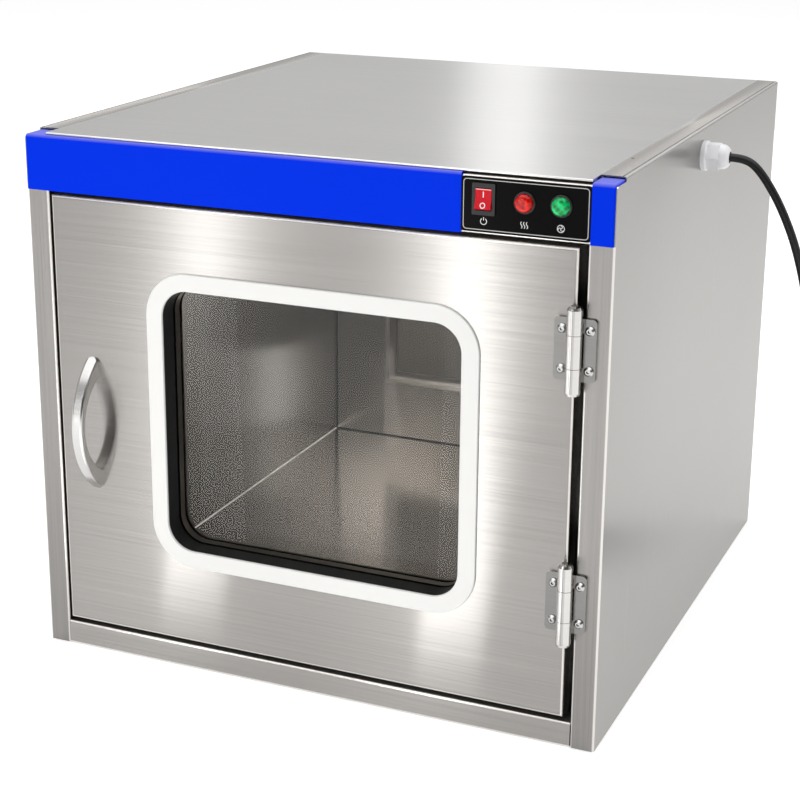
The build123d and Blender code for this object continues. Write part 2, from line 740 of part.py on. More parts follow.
with BuildPart() as switch_housing:
    with BuildSketch(at_front(plate_y)):
        with Locations((switch_x, controls_z)):
            RectangleRounded(bezel_width, bezel_height, switch_corner)
    extrude(amount=bezel_proud)
    with BuildSketch(at_y(plate_y)):
        with Locations((-switch_x, controls_z)):
            Rectangle(switch_body_width, switch_body_height)
    extrude(amount=switch_body_depth)
    with BuildSketch(Plane(origin=(switch_x - pocket_width / 2, pivot_y, controls_z),
                           x_dir=(0, 1, 0), z_dir=(1, 0, 0))):
        Circle(rocker_radius + rocker_gap)
        with Locations((-rocker_radius, 0)):
            Rectangle(2 * rocker_radius, 2 * (rocker_radius + rocker_gap))
    extrude(amount=pocket_width, mode=Mode.SUBTRACT)
    with BuildSketch(Plane(origin=(switch_x - pocket_width / 2 - pin_hole_end, pivot_y, controls_z),
                           x_dir=(0, 1, 0), z_dir=(1, 0, 0))):
        Circle(rocker_pin / 2 + rocker_fit)
    extrude(amount=pocket_width + 2 * pin_hole_end, mode=Mode.SUBTRACT)
    with BuildSketch(at_y(plate_y + switch_body_depth)):
        with Locations((-switch_x, controls_z)):
            with GridLocations(tab_width, tab_pitch, 1, tab_count):
                Rectangle(tab_width, tab_thickness)
    extrude(amount=tab_length)
finish("switch_housing", switch_housing)

# Local x points out of the face, tilted up because the upper half is pressed in.
tilt = radians(half_throw)
rocker_plane = Plane(origin=(switch_x - rocker_width / 2, pivot_y, controls_z),
                     x_dir=(0, -cos(tilt), sin(tilt)), z_dir=(1, 0, 0))
with BuildPart() as rocker:
    with BuildSketch(rocker_plane):
        Circle(rocker_radius)
        with BuildLine():
            Polyline((rocker_dish, 0), (rocker_edge, edge_reach), (2 * rocker_radius, edge_reach),
                     (2 * rocker_radius, -edge_reach), (rocker_edge, -edge_reach), close=True)
        make_face(mode=Mode.SUBTRACT)
    extrude(amount=rocker_width)
    with BuildSketch(rocker_plane.offset(-rocker_pin_end)):
        Circle(rocker_pin / 2)
    extrude(amount=rocker_width + 2 * rocker_pin_end)
finish("rocker", rocker)


def pilot_lamp(name, x):
    """Lamp with a threaded body through the header and a domed lens in a bezel."""
    centre = (x, controls_z)
    with BuildPart() as bezel:
        with BuildSketch(at_front(plate_y)):
            with Locations(centre):
                Circle(lamp_bezel / 2)
        extrude(amount=lamp_bezel_proud)
        chamfer(edges().group_by(Axis.Y)[0], length=lamp_edge)
        with BuildSketch(at_y(plate_y)):
            with Locations((-x, controls_z)):
                Circle(lamp_body / 2)
        extrude(amount=lamp_body_depth)
        with BuildSketch(at_front(plate_y - lamp_bezel_proud)):
            with Locations(centre):
                Circle(lamp_lens / 2)
        extrude(amount=-lamp_seat, mode=Mode.SUBTRACT)
    finish(f"{name}_lamp_bezel", bezel)
    with BuildPart() as lens:
        with BuildSketch(at_front(plate_y - lamp_bezel_proud + lamp_seat)):
            with Locations(centre):
                Circle(lamp_lens / 2)
        extrude(amount=lamp_dome)
        fillet(edges().group_by(Axis.Y)[0], radius=0.8 * lamp_dome)
    finish(f"{name}_lamp_lens", lens)


pilot_lamp("heater", heater_lamp_x)
pilot_lamp("blower", blower_lamp_x)

# ---- Door -----------------------------------------------------------------------------
seal_width = window_width + 2 * seal_wall
seal_height = window_height + 2 * seal_wall
seal_radius = window_radius + seal_wall


def window_face(extra):
    """Rounded window outline, larger than the sight opening by extra all round."""
    with Locations((window_x, window_z)):
        RectangleRounded(window_width + 2 * extra, window_height + 2 * extra, window_radius + extra)


with BuildPart() as door_skin:
    with BuildSketch(at_y(face_y)):
        with Locations((-door_mid_x, door_mid_z)):
            Rectangle(door_width, door_height)
    extrude(amount=door_thickness)
    fillet(edges().group_by(Axis.Y)[0], radius=door_edge_radius)
    offset(amount=-sheet, openings=faces().sort_by(Axis.Y)[-1])
    with BuildSketch(at_front(face_y + 2 * sheet)):
        window_face(seal_wall)
        with Locations(*door_screw_places, *handle_screw_places):
            Circle(leaf_screw_shank / 2)
    extrude(amount=4 * sheet, mode=Mode.SUBTRACT)
finish("door_skin", door_skin)

with BuildPart() as door_inner_pan:
    with BuildSketch(at_front(door_back_y)):
        with Locations((door_mid_x, door_mid_z)):
            Rectangle(door_width - 2 * sheet, door_height - 2 * sheet)
    extrude(amount=inner_pan_depth)
    offset(amount=-sheet, openings=faces().sort_by(Axis.Y)[0])
    with BuildSketch(at_front(door_back_y)):
        window_face(seal_wall)
    extrude(amount=inner_pan_depth, mode=Mode.SUBTRACT)
finish("door_inner_pan", door_inner_pan)

with BuildPart() as window_gasket:
    with BuildSketch(at_front(face_y)):
        window_face(gasket_band)
        with Locations((window_x, window_z)):
            RectangleRounded(window_width, window_height, window_radius, mode=Mode.SUBTRACT)
    extrude(amount=gasket_proud)
    fillet(edges().group_by(Axis.Y)[0], radius=1.2)
finish("window_gasket", window_gasket)

with BuildPart() as glazing_seal:
    with BuildSketch(at_y(face_y)):
        with Locations((-window_x, window_z)):
            RectangleRounded(seal_width, seal_height, seal_radius)
            RectangleRounded(window_width, window_height, window_radius, mode=Mode.SUBTRACT)
    extrude(amount=door_thickness)
    for pane_y in (glass_y, inner_glass_y):
        with BuildSketch(at_y(pane_y)):
            with Locations((-window_x, window_z)):
                RectangleRounded(window_width + 2 * glass_bite, window_height + 2 * glass_bite,
                                 window_radius + glass_bite)
        extrude(amount=glass_thickness, mode=Mode.SUBTRACT)
finish("glazing_seal", glazing_seal)

for name, pane_y in (("outer_glass", glass_y), ("inner_glass", inner_glass_y)):
    with BuildPart() as pane:
        with BuildSketch(at_y(pane_y)):
            with Locations((-window_x, window_z)):
                RectangleRounded(window_width + 2 * glass_bite, window_height + 2 * glass_bite,
                                 window_radius + glass_bite)
        extrude(amount=glass_thickness)
    finish(name, pane)

seal_thickness = door_recess - door_thickness - running_gap
with BuildPart() as door_seal:
    inner_width = chamber_width + 2 * door_seal_inner
    inner_height = chamber_height + 2 * door_seal_inner
    with BuildSketch(at_y(door_back_y)):
        with Locations((0, chamber_mid_z)):
            RectangleRounded(inner_width + 2 * door_seal_width, inner_height + 2 * door_seal_width,
                             2 * door_seal_corner)
            RectangleRounded(inner_width, inner_height, door_seal_corner, mode=Mode.SUBTRACT)
    extrude(amount=seal_thickness)
    chamfer(edges().group_by(Axis.Y)[-1], length=door_seal_edge)
finish("door_seal", door_seal)

catch_x = (door_left - chamber_half - door_seal_inner - door_seal_width) / 2
catch_z = handle_z
with BuildPart() as magnet_catch:
    with BuildSketch(at_front(stop_y)):
        with Locations((catch_x, catch_z)):
            RectangleRounded(catch_width, catch_height, catch_corner)
    extrude(amount=catch_depth)
finish("magnet_catch", magnet_catch)

with BuildPart() as strike_plate:
    with BuildSketch(at_y(door_back_y)):
        with Locations((-catch_x, catch_z)):
            RectangleRounded(catch_width + strike_margin, catch_height + 2 * strike_margin,
                             catch_corner)
    extrude(amount=strike_thickness)
finish("strike_plate", strike_plate)

# ---- Handle ---------------------------------------------------------------------------
half_length = handle_length / 2
inner_half = half_length - handle_foot
with BuildPart() as handle:
    with BuildSketch(Plane(origin=(handle_x - handle_width / 2, face_y, handle_z),
                           x_dir=(0, -1, 0), z_dir=(-1, 0, 0))):
        with BuildLine():
            ThreePointArc((0, -half_length), (handle_reach, 0), (0, half_length))
            Line((0, half_length), (0, inner_half))
            ThreePointArc((0, inner_half), (handle_reach - handle_bar, 0), (0, -inner_half))
            Line((0, -inner_half), (0, -half_length))
        make_face()
    extrude(amount=-handle_width)
    fillet(edges().filter_by(GeomType.CIRCLE), radius=handle_edge)
    with BuildSketch(at_front(face_y)):
        with Locations((handle_x, handle_z)):
            SlotOverall(handle_length, handle_width, rotation=90)
    extrude(amount=handle_reach, mode=Mode.INTERSECT)
finish("handle", handle)

with BuildPart() as handle_screws:
    with BuildSketch(at_y(face_y + sheet)):
        with Locations(*[(-x, z) for x, z in handle_screw_places]):
            Circle(leaf_screw_head / 2)
    extrude(amount=handle_screw_depth)
    with BuildSketch(at_front(face_y + sheet)):
        with Locations(*handle_screw_places):
            Circle(leaf_screw_shank / 2)
    extrude(amount=sheet)
finish("handle_screws", handle_screws)

# ---- Hinges ---------------------------------------------------------------------------
barrel = hinge_barrel / 2
leaf_y = face_y - hinge_leaf
knuckle_clearance = barrel + hinge_play


def knuckle(z_low, z_high, bore):
    """Rolled knuckle on the hinge axis, in the open part."""
    with BuildSketch(Plane.XY.offset(z_low)) as section:
        with Locations((hinge_x, hinge_y)):
            Circle(barrel)
    extrude(section.sketch, amount=z_high - z_low)
    with BuildSketch(Plane.XY.offset(z_low)) as hole:
        with Locations((hinge_x, hinge_y)):
            Circle(bore)
    extrude(hole.sketch, amount=z_high - z_low, mode=Mode.SUBTRACT)


def leaf_plate(centre_x, width, hinge_z):
    """Flat leaf with rounded corners on the steel face, in the open part."""
    with BuildSketch(at_front(face_y)) as outline:
        with Locations((centre_x, hinge_z)):
            RectangleRounded(width, hinge_leaf_height, hinge_leaf_radius)
    extrude(outline.sketch, amount=hinge_leaf)


def leaf_relief(centre_x, width, z_low, z_high, mode=Mode.SUBTRACT):
    """Block on the steel face, as deep as the barrel, cut out of or added to the open part."""
    with BuildSketch(at_front(face_y)) as outline:
        with Locations((centre_x, (z_low + z_high) / 2)):
            Rectangle(width, z_high - z_low)
    extrude(outline.sketch, amount=hinge_leaf, mode=mode)


for place, hinge_z in hinge_heights.items():
    middle_low = hinge_z - hinge_middle / 2
    middle_high = hinge_z + hinge_middle / 2
    barrel_low = hinge_z - hinge_length / 2
    barrel_high = hinge_z + hinge_length / 2
    leaf_low = hinge_z - hinge_leaf_height / 2
    leaf_high = hinge_z + hinge_leaf_height / 2
    screw_low = hinge_z - leaf_screw_pitch / 2
    screw_high = hinge_z + leaf_screw_pitch / 2

    with BuildPart() as frame_leaf:
        leaf_plate(frame_mid_x, frame_leaf_edge - hinge_x, hinge_z)
        leaf_relief(hinge_x, 2 * hinge_leaf_radius, leaf_low, leaf_high, Mode.ADD)
        leaf_relief(hinge_x - 5 * hinge_leaf_radius, 10 * hinge_leaf_radius, leaf_low, leaf_high)
        leaf_relief(hinge_x, 2 * knuckle_clearance, middle_low - hinge_play, middle_high + hinge_play)
        knuckle(barrel_low, middle_low, hinge_pin / 2)
        knuckle(middle_high, barrel_high, hinge_pin / 2)
        with BuildSketch(at_front(face_y)):
            with Locations((frame_screw_x, screw_low), (frame_screw_x, screw_high)):
                Circle(leaf_screw_shank / 2)
        extrude(amount=hinge_leaf, mode=Mode.SUBTRACT)
    finish(f"frame_leaf_{place}", frame_leaf)

    with BuildPart() as door_leaf:
        leaf_width = hinge_x - door_leaf_edge
        leaf_plate(hinge_x - leaf_width / 2, leaf_width, hinge_z)
        leaf_relief(hinge_x - hinge_leaf_radius, 2 * hinge_leaf_radius, leaf_low, leaf_high, Mode.ADD)
        for z_low, z_high in ((leaf_low, middle_low + hinge_play), (middle_high - hinge_play, leaf_high)):
            leaf_relief(hinge_x, 2 * knuckle_clearance, z_low, z_high)
        knuckle(middle_low + hinge_play, middle_high - hinge_play, hinge_pin / 2 + hinge_fit)
        with BuildSketch(at_front(face_y)):
            with Locations((door_screw_x, screw_low), (door_screw_x, screw_high)):
                Circle(leaf_screw_shank / 2)
        extrude(amount=hinge_leaf, mode=Mode.SUBTRACT)
    finish(f"door_leaf_{place}", door_leaf)

cap_radius = barrel - hinge_cap
cap_shoulder = 0.7 * hinge_cap
with BuildPart() as hinge_pins:
    for hinge_z in hinge_heights.values():
        with BuildSketch(Plane(origin=(hinge_x, hinge_y, hinge_z), x_dir=(1, 0, 0), z_dir=(0, -1, 0))):
            with BuildLine():
                end = hinge_length / 2
                Polyline((0, -end - hinge_cap), (cap_radius, -end - hinge_cap),
                         (cap_radius + cap_shoulder, -end - cap_shoulder), (barrel, -end),
                         (hinge_pin / 2, -end), (hinge_pin / 2, end), (barrel, end),
                         (cap_radius + cap_shoulder, end + cap_shoulder),
                         (cap_radius, end + hinge_cap), (0, end + hinge_cap), close=True)
            make_face()
        revolve(axis=Axis((hinge_x, hinge_y, 0), (0, 0, 1)))
finish("hinge_pins", hinge_pins)


def button_screws(places):
    """Socket button screws through a hinge leaf and the sheet behind it."""
    with BuildPart() as screws:
        with BuildSketch(at_front(leaf_y)):
            with Locations(*places):
                Circle(leaf_screw_head / 2)
        extrude(amount=leaf_screw_height)
        chamfer(edges().group_by(Axis.Y)[0], length=0.7 * leaf_screw_height)
        with BuildSketch(at_y(leaf_y)):
            with Locations(*[(-x, z) for x, z in places]):
                Circle(leaf_screw_shank / 2)
        extrude(amount=hinge_leaf + sheet)
        with BuildSketch(at_y(leaf_y - leaf_screw_height)):
            with Locations(*[(-x, z) for x, z in places]):
                RegularPolygon(leaf_screw_socket / 2, 6, major_radius=False)
        extrude(amount=leaf_socket_depth, mode=Mode.SUBTRACT)
    return screws


door_leaf_screws = button_screws(door_screw_places)
finish("door_leaf_screws", door_leaf_screws)
frame_leaf_screws = button_screws(frame_screw_places)
finish("frame_leaf_screws", frame_leaf_screws)

# ---- Cable gland ----------------------------------------------------------------------
nut_x = half_width + gland_flange_depth
gland_end = nut_x + gland_hex_depth + gland_dome_depth
gland_axis = Axis((0, gland_y, gland_z), (1, 0, 0))
gland_plane = Plane(origin=(half_width, gland_y, gland_z), x_dir=(0, 1, 0), z_dir=(1, 0, 0))

with BuildPart() as gland_body:
    with BuildSketch(gland_plane.offset(-gland_inside)):
        Circle(gland_thread / 2)
    extrude(amount=gland_inside)
    with BuildSketch(gland_plane):
        Circle(gland_flange / 2)
    extrude(amount=gland_flange_depth)
    fillet(edges().group_by(Axis.X)[-1], radius=gland_flange_edge)
    with BuildSketch(gland_plane.offset(gland_flange_depth)):
        Circle(gland_thread / 2)
    extrude(amount=gland_hex_depth)
    with BuildSketch(gland_plane.offset(-gland_inside)):
        Circle(cord_diameter / 2)
    extrude(amount=gland_inside + gland_flange_depth + gland_hex_depth, mode=Mode.SUBTRACT)
finish("gland_body", gland_body)

with BuildPart() as gland_nut:
    with BuildSketch(gland_plane.offset(gland_flange_depth)):
        RegularPolygon(gland_hex / 2, 6, major_radius=False)
    extrude(amount=gland_hex_depth)
    with BuildSketch(Plane(origin=(nut_x + gland_hex_depth, gland_y, gland_z), x_dir=(1, 0, 0),
                           z_dir=(0, -1, 0))):
        with BuildLine():
            Line((0, 0), (0, gland_hex / 2))
            ThreePointArc((0, gland_hex / 2), (0.7 * gland_dome_depth, 0.86 * gland_hex / 2),
                          (gland_dome_depth, gland_mouth / 2))
            Polyline((gland_dome_depth, gland_mouth / 2), (gland_dome_depth, 0), (0, 0))
        make_face()
    revolve(axis=gland_axis)
    with BuildSketch(gland_plane.offset(gland_flange_depth)):
        Circle(gland_thread / 2)
    extrude(amount=gland_hex_depth, mode=Mode.SUBTRACT)
    with BuildSketch(gland_plane.offset(gland_flange_depth + gland_hex_depth)):
        Circle(gland_mouth / 2 - gland_lip)
    extrude(amount=gland_dome_depth, mode=Mode.SUBTRACT)
finish("gland_nut", gland_nut)

with BuildPart() as gland_seal:
    with BuildSketch(gland_plane.offset(gland_flange_depth + gland_hex_depth)):
        Circle(gland_mouth / 2 - gland_lip)
    extrude(amount=gland_dome_depth)
finish("gland_seal", gland_seal)

with BuildPart() as gland_locknut:
    with BuildSketch(gland_plane.offset(-sheet)):
        RegularPolygon(locknut_hex / 2, 6, major_radius=False)
        Circle(gland_thread / 2, mode=Mode.SUBTRACT)
    extrude(amount=-locknut_depth)
finish("gland_locknut", gland_locknut)

# ---- Supply cord ----------------------------------------------------------------------
# The cord drops from the gland and lies in a coil on the floor beside the cabinet.
coil_radius = coil_diameter / 2
coil_height = coil_layers * cord_diameter
coil_band = coil_turns_across * cord_diameter
stub_length = 42.0
cord_points = [(gland_end, gland_y, gland_z), (339, gland_y, gland_z), (352, -20, 509.5),
               (366.5, -20, 492), (382, -19, 466), (399, -17, 426), (414, -13, 364),
               (425, -6, 285), (433, 4, 206), (440, 16, 136), (446, 27, 82), (457, 37, 45),
               (474, 44, 20), (498, 49, 8.5), (524, 49, 8.5)]
coil_x = cord_points[-1][0] + stub_length
coil_y = cord_points[-1][1] + coil_radius
cord_z = cord_points[-1][2]


def cord_radius(before, corner, after):
    """Largest arc that the two runs at a corner allow, with straight pieces left between."""
    run_in = Vector(*corner) - Vector(*before)
    run_out = Vector(*after) - Vector(*corner)
    half_turn = radians(run_in.get_angle(run_out)) / 2
    return 0.45 * min(run_in.length, run_out.length) / tan(half_turn)


cord_radii = [cord_radius(*cord_points[i - 1:i + 2]) for i in range(1, len(cord_points) - 1)]
print("cord radii", [round(radius, 1) for radius in cord_radii])

with BuildPart() as power_cord:
    with BuildLine() as cord_path:
        FilletPolyline(*cord_points, radius=cord_radii)
    cord_start = Vector(*cord_points[1]) - Vector(*cord_points[0])
    with BuildSketch(Plane(origin=cord_points[0], z_dir=cord_start)):
        Circle(cord_diameter / 2)
    sweep(path=cord_path.line)
finish("power_cord", power_cord)
cord_length = cord_path.line.wires()[0].length
print("cord tube", round(cord_length, 1), "volume by length",
      round(cord_length * pi * cord_diameter ** 2 / 4), "volume", round(power_cord.part.volume))
print("whole cord", round(cord_length + 2 * stub_length
                          + coil_turns_across * coil_layers * pi * coil_diameter))

with BuildPart() as cord_coil:
    with BuildSketch(Plane(origin=(coil_x, coil_y, coil_height / 2), x_dir=(1, 0, 0), z_dir=(0, -1, 0))):
        with Locations((coil_radius, 0)):
            Rectangle(coil_band, coil_height)
        chamfer(vertices(), length=0.3 * cord_diameter)
    revolve(axis=Axis((coil_x, coil_y, 0), (0, 0, 1)))
    with BuildSketch(Plane(origin=(coil_x, coil_y, cord_z), x_dir=(0, 1, 0), z_dir=(-1, 0, 0))):
        with Locations((-coil_radius, 0), (coil_radius, 0)):
            Circle(cord_diameter / 2)
    extrude(amount=stub_length)
finish("cord_coil", cord_coil)

plug_end_x = coil_x - stub_length
plug_y = coil_y + coil_radius
with BuildPart() as plug_body:
    with BuildSketch(Plane(origin=(plug_end_x, plug_y, plug_height / 2), x_dir=(0, 1, 0),
                           z_dir=(-1, 0, 0))):
        RectangleRounded(plug_neck * plug_width, 0.8 * plug_height, 0.3 * plug_height)
    with BuildSketch(Plane(origin=(plug_end_x - plug_length, plug_y, plug_height / 2), x_dir=(0, 1, 0),
                           z_dir=(-1, 0, 0))):
        RectangleRounded(plug_width, plug_height, 0.4 * plug_height)
    loft()
finish("plug_body", plug_body)

with BuildPart() as plug_pins:
    with BuildSketch(Plane(origin=(plug_end_x - plug_length, plug_y, plug_height / 2), x_dir=(0, 1, 0),
                           z_dir=(-1, 0, 0))):
        with GridLocations(pin_pitch, pin_diameter, 2, 1):
            Circle(pin_diameter / 2)
    extrude(amount=pin_length)
    chamfer(edges().group_by(Axis.X)[0], length=pin_tip)
finish("plug_pins", plug_pins)

for name, piece in nodes.items():
    export_step(piece, f"parts/{name}.step")
print(len(nodes), "nodes")
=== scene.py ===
# %% [markdown]
# # Stainless steel pass box
# The solids of the cabinet come ready made, each as its own object in metres. This lesson gives
# them their finishes, and adds the small pieces that a solid model leaves out: the line and the
# signs of the control plate, the marks of the rocker and a painted highlight on its upper edge, the
# beads of the chamber, the spacer of the double window, and the cord's real curve.

# %% Load the solids
from math import cos, pi, radians, sin

import bmesh
import bpy
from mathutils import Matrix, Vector
from mathutils.bvhtree import BVHTree


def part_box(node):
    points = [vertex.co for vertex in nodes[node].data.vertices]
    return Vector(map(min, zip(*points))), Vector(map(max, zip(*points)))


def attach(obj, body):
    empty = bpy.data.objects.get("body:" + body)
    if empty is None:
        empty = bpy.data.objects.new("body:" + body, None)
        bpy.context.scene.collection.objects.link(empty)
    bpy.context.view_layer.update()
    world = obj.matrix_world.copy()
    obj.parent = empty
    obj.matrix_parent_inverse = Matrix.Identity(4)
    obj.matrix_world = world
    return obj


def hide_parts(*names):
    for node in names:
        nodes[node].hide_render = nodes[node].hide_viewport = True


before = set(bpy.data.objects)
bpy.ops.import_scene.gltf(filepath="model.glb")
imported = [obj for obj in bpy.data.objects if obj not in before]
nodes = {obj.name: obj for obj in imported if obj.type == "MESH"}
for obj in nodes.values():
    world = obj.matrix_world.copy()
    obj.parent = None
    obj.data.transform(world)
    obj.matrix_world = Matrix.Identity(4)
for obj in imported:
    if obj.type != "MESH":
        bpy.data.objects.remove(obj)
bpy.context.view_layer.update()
scene = bpy.context.scene
scene.view_settings.view_transform = "Standard"

# %% [markdown]
# ## The camera
# The cabinet is seen from its right front corner, from a little above. A long lens keeps the
# upright edges nearly parallel. The shift slides the picture on the sensor, as the view camera of
# a catalogue studio does. It is kept small, so that views from other sides hold the whole cabinet.

# %% Set the camera
camera_data = bpy.data.cameras.new("catalogue_camera")
camera_data.sensor_width = 36.0
camera_data.lens = 82.83
camera_data.shift_x = 0.04
camera_data.shift_y = -0.04
camera = bpy.data.objects.new("catalogue_camera", camera_data)
camera.location = (0.7327, -1.8120, 0.8566)
camera.rotation_euler = (radians(72.714), radians(-0.130), radians(24.037))
scene.collection.objects.link(camera)
scene.camera = camera
print("camera", [round(value, 3) for value in camera.location])

# %% [markdown]
# ## The supply cord
# A limp rubber lead of 8.5 mm leaves the white gland, drops beside the cabinet and lies on the
# floor. The rest of it is wound into a small flat coil that ends in the plug. A cord is best made
# as one curve with few control points: the spline rounds the corners by itself, as the rubber
# does. The coil is part of the same spline, so that the cord's length stays one number.

# %% Lay the cord
CORD = 0.0085
cord_route = [
    (0.327, -0.020, 0.515), (0.339, -0.020, 0.515), (0.352, -0.020, 0.5095),
    (0.3665, -0.020, 0.492), (0.382, -0.019, 0.466), (0.399, -0.017, 0.426),
    (0.414, -0.013, 0.364), (0.425, -0.006, 0.285), (0.433, 0.004, 0.206),
    (0.440, 0.016, 0.136), (0.446, 0.027, 0.082), (0.457, 0.037, 0.045),
    (0.474, 0.044, 0.020), (0.498, 0.049, 0.0085), (0.524, 0.049, 0.0085),
    (0.545, 0.0465, 0.0055),
]
coil_centre = Vector((0.566, 0.095))
coil_radius = 0.046
coil_inner = coil_radius - CORD / 2
coil_outer = coil_radius + CORD / 2
coil_between = (coil_outer + coil_inner) / 2
coil_low = CORD / 2
coil_high = 3 * CORD / 2
coil_climb = (coil_low + coil_high) / 2
coil_turns = 3.5
points_per_turn = 16
coil_stages = [
    (0.83, coil_outer, coil_low), (0.95, coil_between, coil_low), (1.66, coil_inner, coil_low),
    (1.80, coil_inner, coil_climb), (2.50, coil_inner, coil_high), (2.60, coil_between, coil_high),
]


def coil_place(step):
    """Radius and height of the coil after so many steps; a stage holds up to its turn."""
    turns = step / points_per_turn
    for stage_end, radius, height in coil_stages:
        if turns < stage_end:
            return radius, height
    return coil_outer, coil_high


for step in range(int(coil_turns * points_per_turn) + 1):
    radius, height = coil_place(step)
    angle = -pi / 2 + 2 * pi * step / points_per_turn
    cord_route.append((coil_centre.x + radius * cos(angle),
                       coil_centre.y + radius * sin(angle), height))
cord_route += [(0.550, 0.1445, 0.0129), (0.535, 0.142, 0.013), (0.520, 0.141, 0.013)]

cord_curve = bpy.data.curves.new("supply_cord", "CURVE")
cord_curve.dimensions = "3D"
spline = cord_curve.splines.new("NURBS")
spline.points.add(len(cord_route) - 1)
for point, place in zip(spline.points, cord_route):
    point.co = (*place, 1.0)
    point.radius = CORD / 2
spline.order_u = 3
spline.use_endpoint_u = True
spline.resolution_u = 6
cord_curve.bevel_depth = 1.0
cord_curve.bevel_resolution = 4
cord_curve.use_fill_caps = True
supply_cord = bpy.data.objects.new("supply_cord", cord_curve)
scene.collection.objects.link(supply_cord)
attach(supply_cord, "cabinet")
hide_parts("power_cord", "cord_coil")
print("cord of", len(cord_route), "points")

# %% [markdown]
# ## Helpers for new pieces
# Each added piece is a mesh made in code, linked to the scene, given its finish and hung on the
# body that carries it. One helper does these steps, so that no piece is forgotten.

# %% Helper that hangs up a piece
def hang(name, mesh, material, body="cabinet"):
    """Make an object of a bmesh, give it a material and a slot, and let it ride on a body."""
    data = bpy.data.meshes.new(name)
    bmesh.ops.recalc_face_normals(mesh, faces=mesh.faces)
    mesh.to_mesh(data)
    mesh.free()
    for face in data.polygons:
        face.use_smooth = True
    piece = bpy.data.objects.new(name, data)
    scene.collection.objects.link(piece)
    data.materials.append(material)
    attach(piece, body)


def rounded_outline(width, height, radius, steps=8):
    """Corner-rounded rectangle round the origin, as points in order."""
    outline = []
    for number, (side_x, side_y) in enumerate(((1, 1), (-1, 1), (-1, -1), (1, -1))):
        centre = Vector((side_x * (width / 2 - radius), side_y * (height / 2 - radius)))
        for step in range(steps + 1):
            angle = pi / 2 * (number + step / steps)
            outline.append(centre + radius * Vector((cos(angle), sin(angle))))
    return outline


# %% [markdown]
# ## Shared effects
# A finish that is the same all over the cabinet is built once, as a node group, and each material
# only gives it amounts. A group puts out a colour, a roughness and a height, and the shader itself
# stays in the material. These helpers make a group and the few nodes that all groups need.

# %% Helper functions for node groups
def new_group(name, inputs, outputs):
    """Empty shader group with its sockets; inputs are (name, kind, default)."""
    group = bpy.data.node_groups.new(name, "ShaderNodeTree")
    for socket_name, kind, value in inputs:
        socket = group.interface.new_socket(name=socket_name, in_out="INPUT", socket_type=kind)
        if value is not None:
            socket.default_value = value
    for socket_name, kind in outputs:
        group.interface.new_socket(name=socket_name, in_out="OUTPUT", socket_type=kind)
    entry = group.nodes.new("NodeGroupInput")
    leave = group.nodes.new("NodeGroupOutput")
    return group, entry, leave


def noise(tree, vector, scale, detail, roughness=0.5):
    """Noise texture fed by a vector socket; gives its factor."""
    node = tree.nodes.new("ShaderNodeTexNoise")
    node.inputs["Scale"].default_value = scale
    node.inputs["Detail"].default_value = detail
    node.inputs["Roughness"].default_value = roughness
    tree.links.new(vector, node.inputs["Vector"])
    return node.outputs["Fac"]


def maths(tree, kind, first, second=None, third=None):
    """Math node; each operand is a socket or a number."""
    node = tree.nodes.new("ShaderNodeMath")
    node.operation = kind
    for socket, value in zip(node.inputs, (first, second, third)):
        if value is None:
            continue
        if hasattr(value, "links"):
            tree.links.new(value, socket)
        else:
            socket.default_value = value
    return node.outputs[0]


def facing_up(tree):
    """Mask of the faces that look up: 1 on a level face, 0 on walls and undersides."""
    shape = tree.nodes.new("ShaderNodeNewGeometry")
    split = tree.nodes.new("ShaderNodeSeparateXYZ")
    tree.links.new(shape.outputs["True Normal"], split.inputs["Vector"])
    return maths(tree, "MAXIMUM", split.outputs["Z"], 0.0)


def mix_colour(tree, factor, first, second):
    """Colour mix; each colour is a socket or a tuple."""
    node = tree.nodes.new("ShaderNodeMix")
    node.data_type = "RGBA"
    sockets = (node.inputs[0], node.inputs[6], node.inputs[7])
    for socket, value in zip(sockets, (factor, first, second)):
        if hasattr(value, "links"):
            tree.links.new(value, socket)
        else:
            socket.default_value = value if isinstance(value, float) else (*value, 1.0)
    return node.outputs[2]


# %% [markdown]
# Brushed steel shows long fine scratches in one direction and a slow change of shade. The scratches
# are a noise that is stretched along one axis. Three masks then paint light and shade into the
# colour by where a face looks. Level faces are lightened and lose their grain, a painted highlight
# of the bright sky above. Rounded folds look along no axis and are lightened, a painted highlight
# where a bend catches the light. Flat faces square to the front can be darkened, a painted shade.
# The masks are paint and not lamps, so they stay the same from every side.

# %% Group for brushed steel
FOLD_BELOW = 0.96
FRONT_ABOVE = 0.9995
brushed, entry, leave = new_group(
    "brushed_grain",
    [("Along", "NodeSocketVector", None), ("Base", "NodeSocketColor", (0.5, 0.5, 0.5, 1.0)),
     ("Streaks", "NodeSocketFloat", 0.1), ("Cloud", "NodeSocketFloat", 0.08),
     ("Roughness", "NodeSocketFloat", 0.3), ("Spread", "NodeSocketFloat", 0.1),
     ("Top Sheen", "NodeSocketFloat", 0.0), ("Front Shade", "NodeSocketFloat", 0.0),
     ("Fold Highlight", "NodeSocketFloat", 0.0)],
    [("Color", "NodeSocketColor"), ("Roughness", "NodeSocketFloat"), ("Height", "NodeSocketFloat")])
coordinates = brushed.nodes.new("ShaderNodeTexCoord")
place = coordinates.outputs["Object"]
faces = brushed.nodes.new("ShaderNodeSeparateXYZ")
brushed.links.new(coordinates.outputs["Normal"], faces.inputs["Vector"])
square = [maths(brushed, "ABSOLUTE", faces.outputs[axis]) for axis in ("X", "Y", "Z")]
squarest = maths(brushed, "MAXIMUM", maths(brushed, "MAXIMUM", square[0], square[1]), square[2])
# Painted highlight on rounded bends, which catch the light.
fold_highlight = maths(brushed, "MULTIPLY", maths(brushed, "LESS_THAN", squarest, FOLD_BELOW),
             entry.outputs["Fold Highlight"])
# Painted shade on flat faces square to the front.
front = maths(brushed, "MULTIPLY", maths(brushed, "GREATER_THAN", square[1], FRONT_ABOVE),
              entry.outputs["Front Shade"])
fine = noise(brushed, entry.outputs["Along"], 1.0, 3.0, 0.65)
broad = noise(brushed, place, 3.1, 2.0)
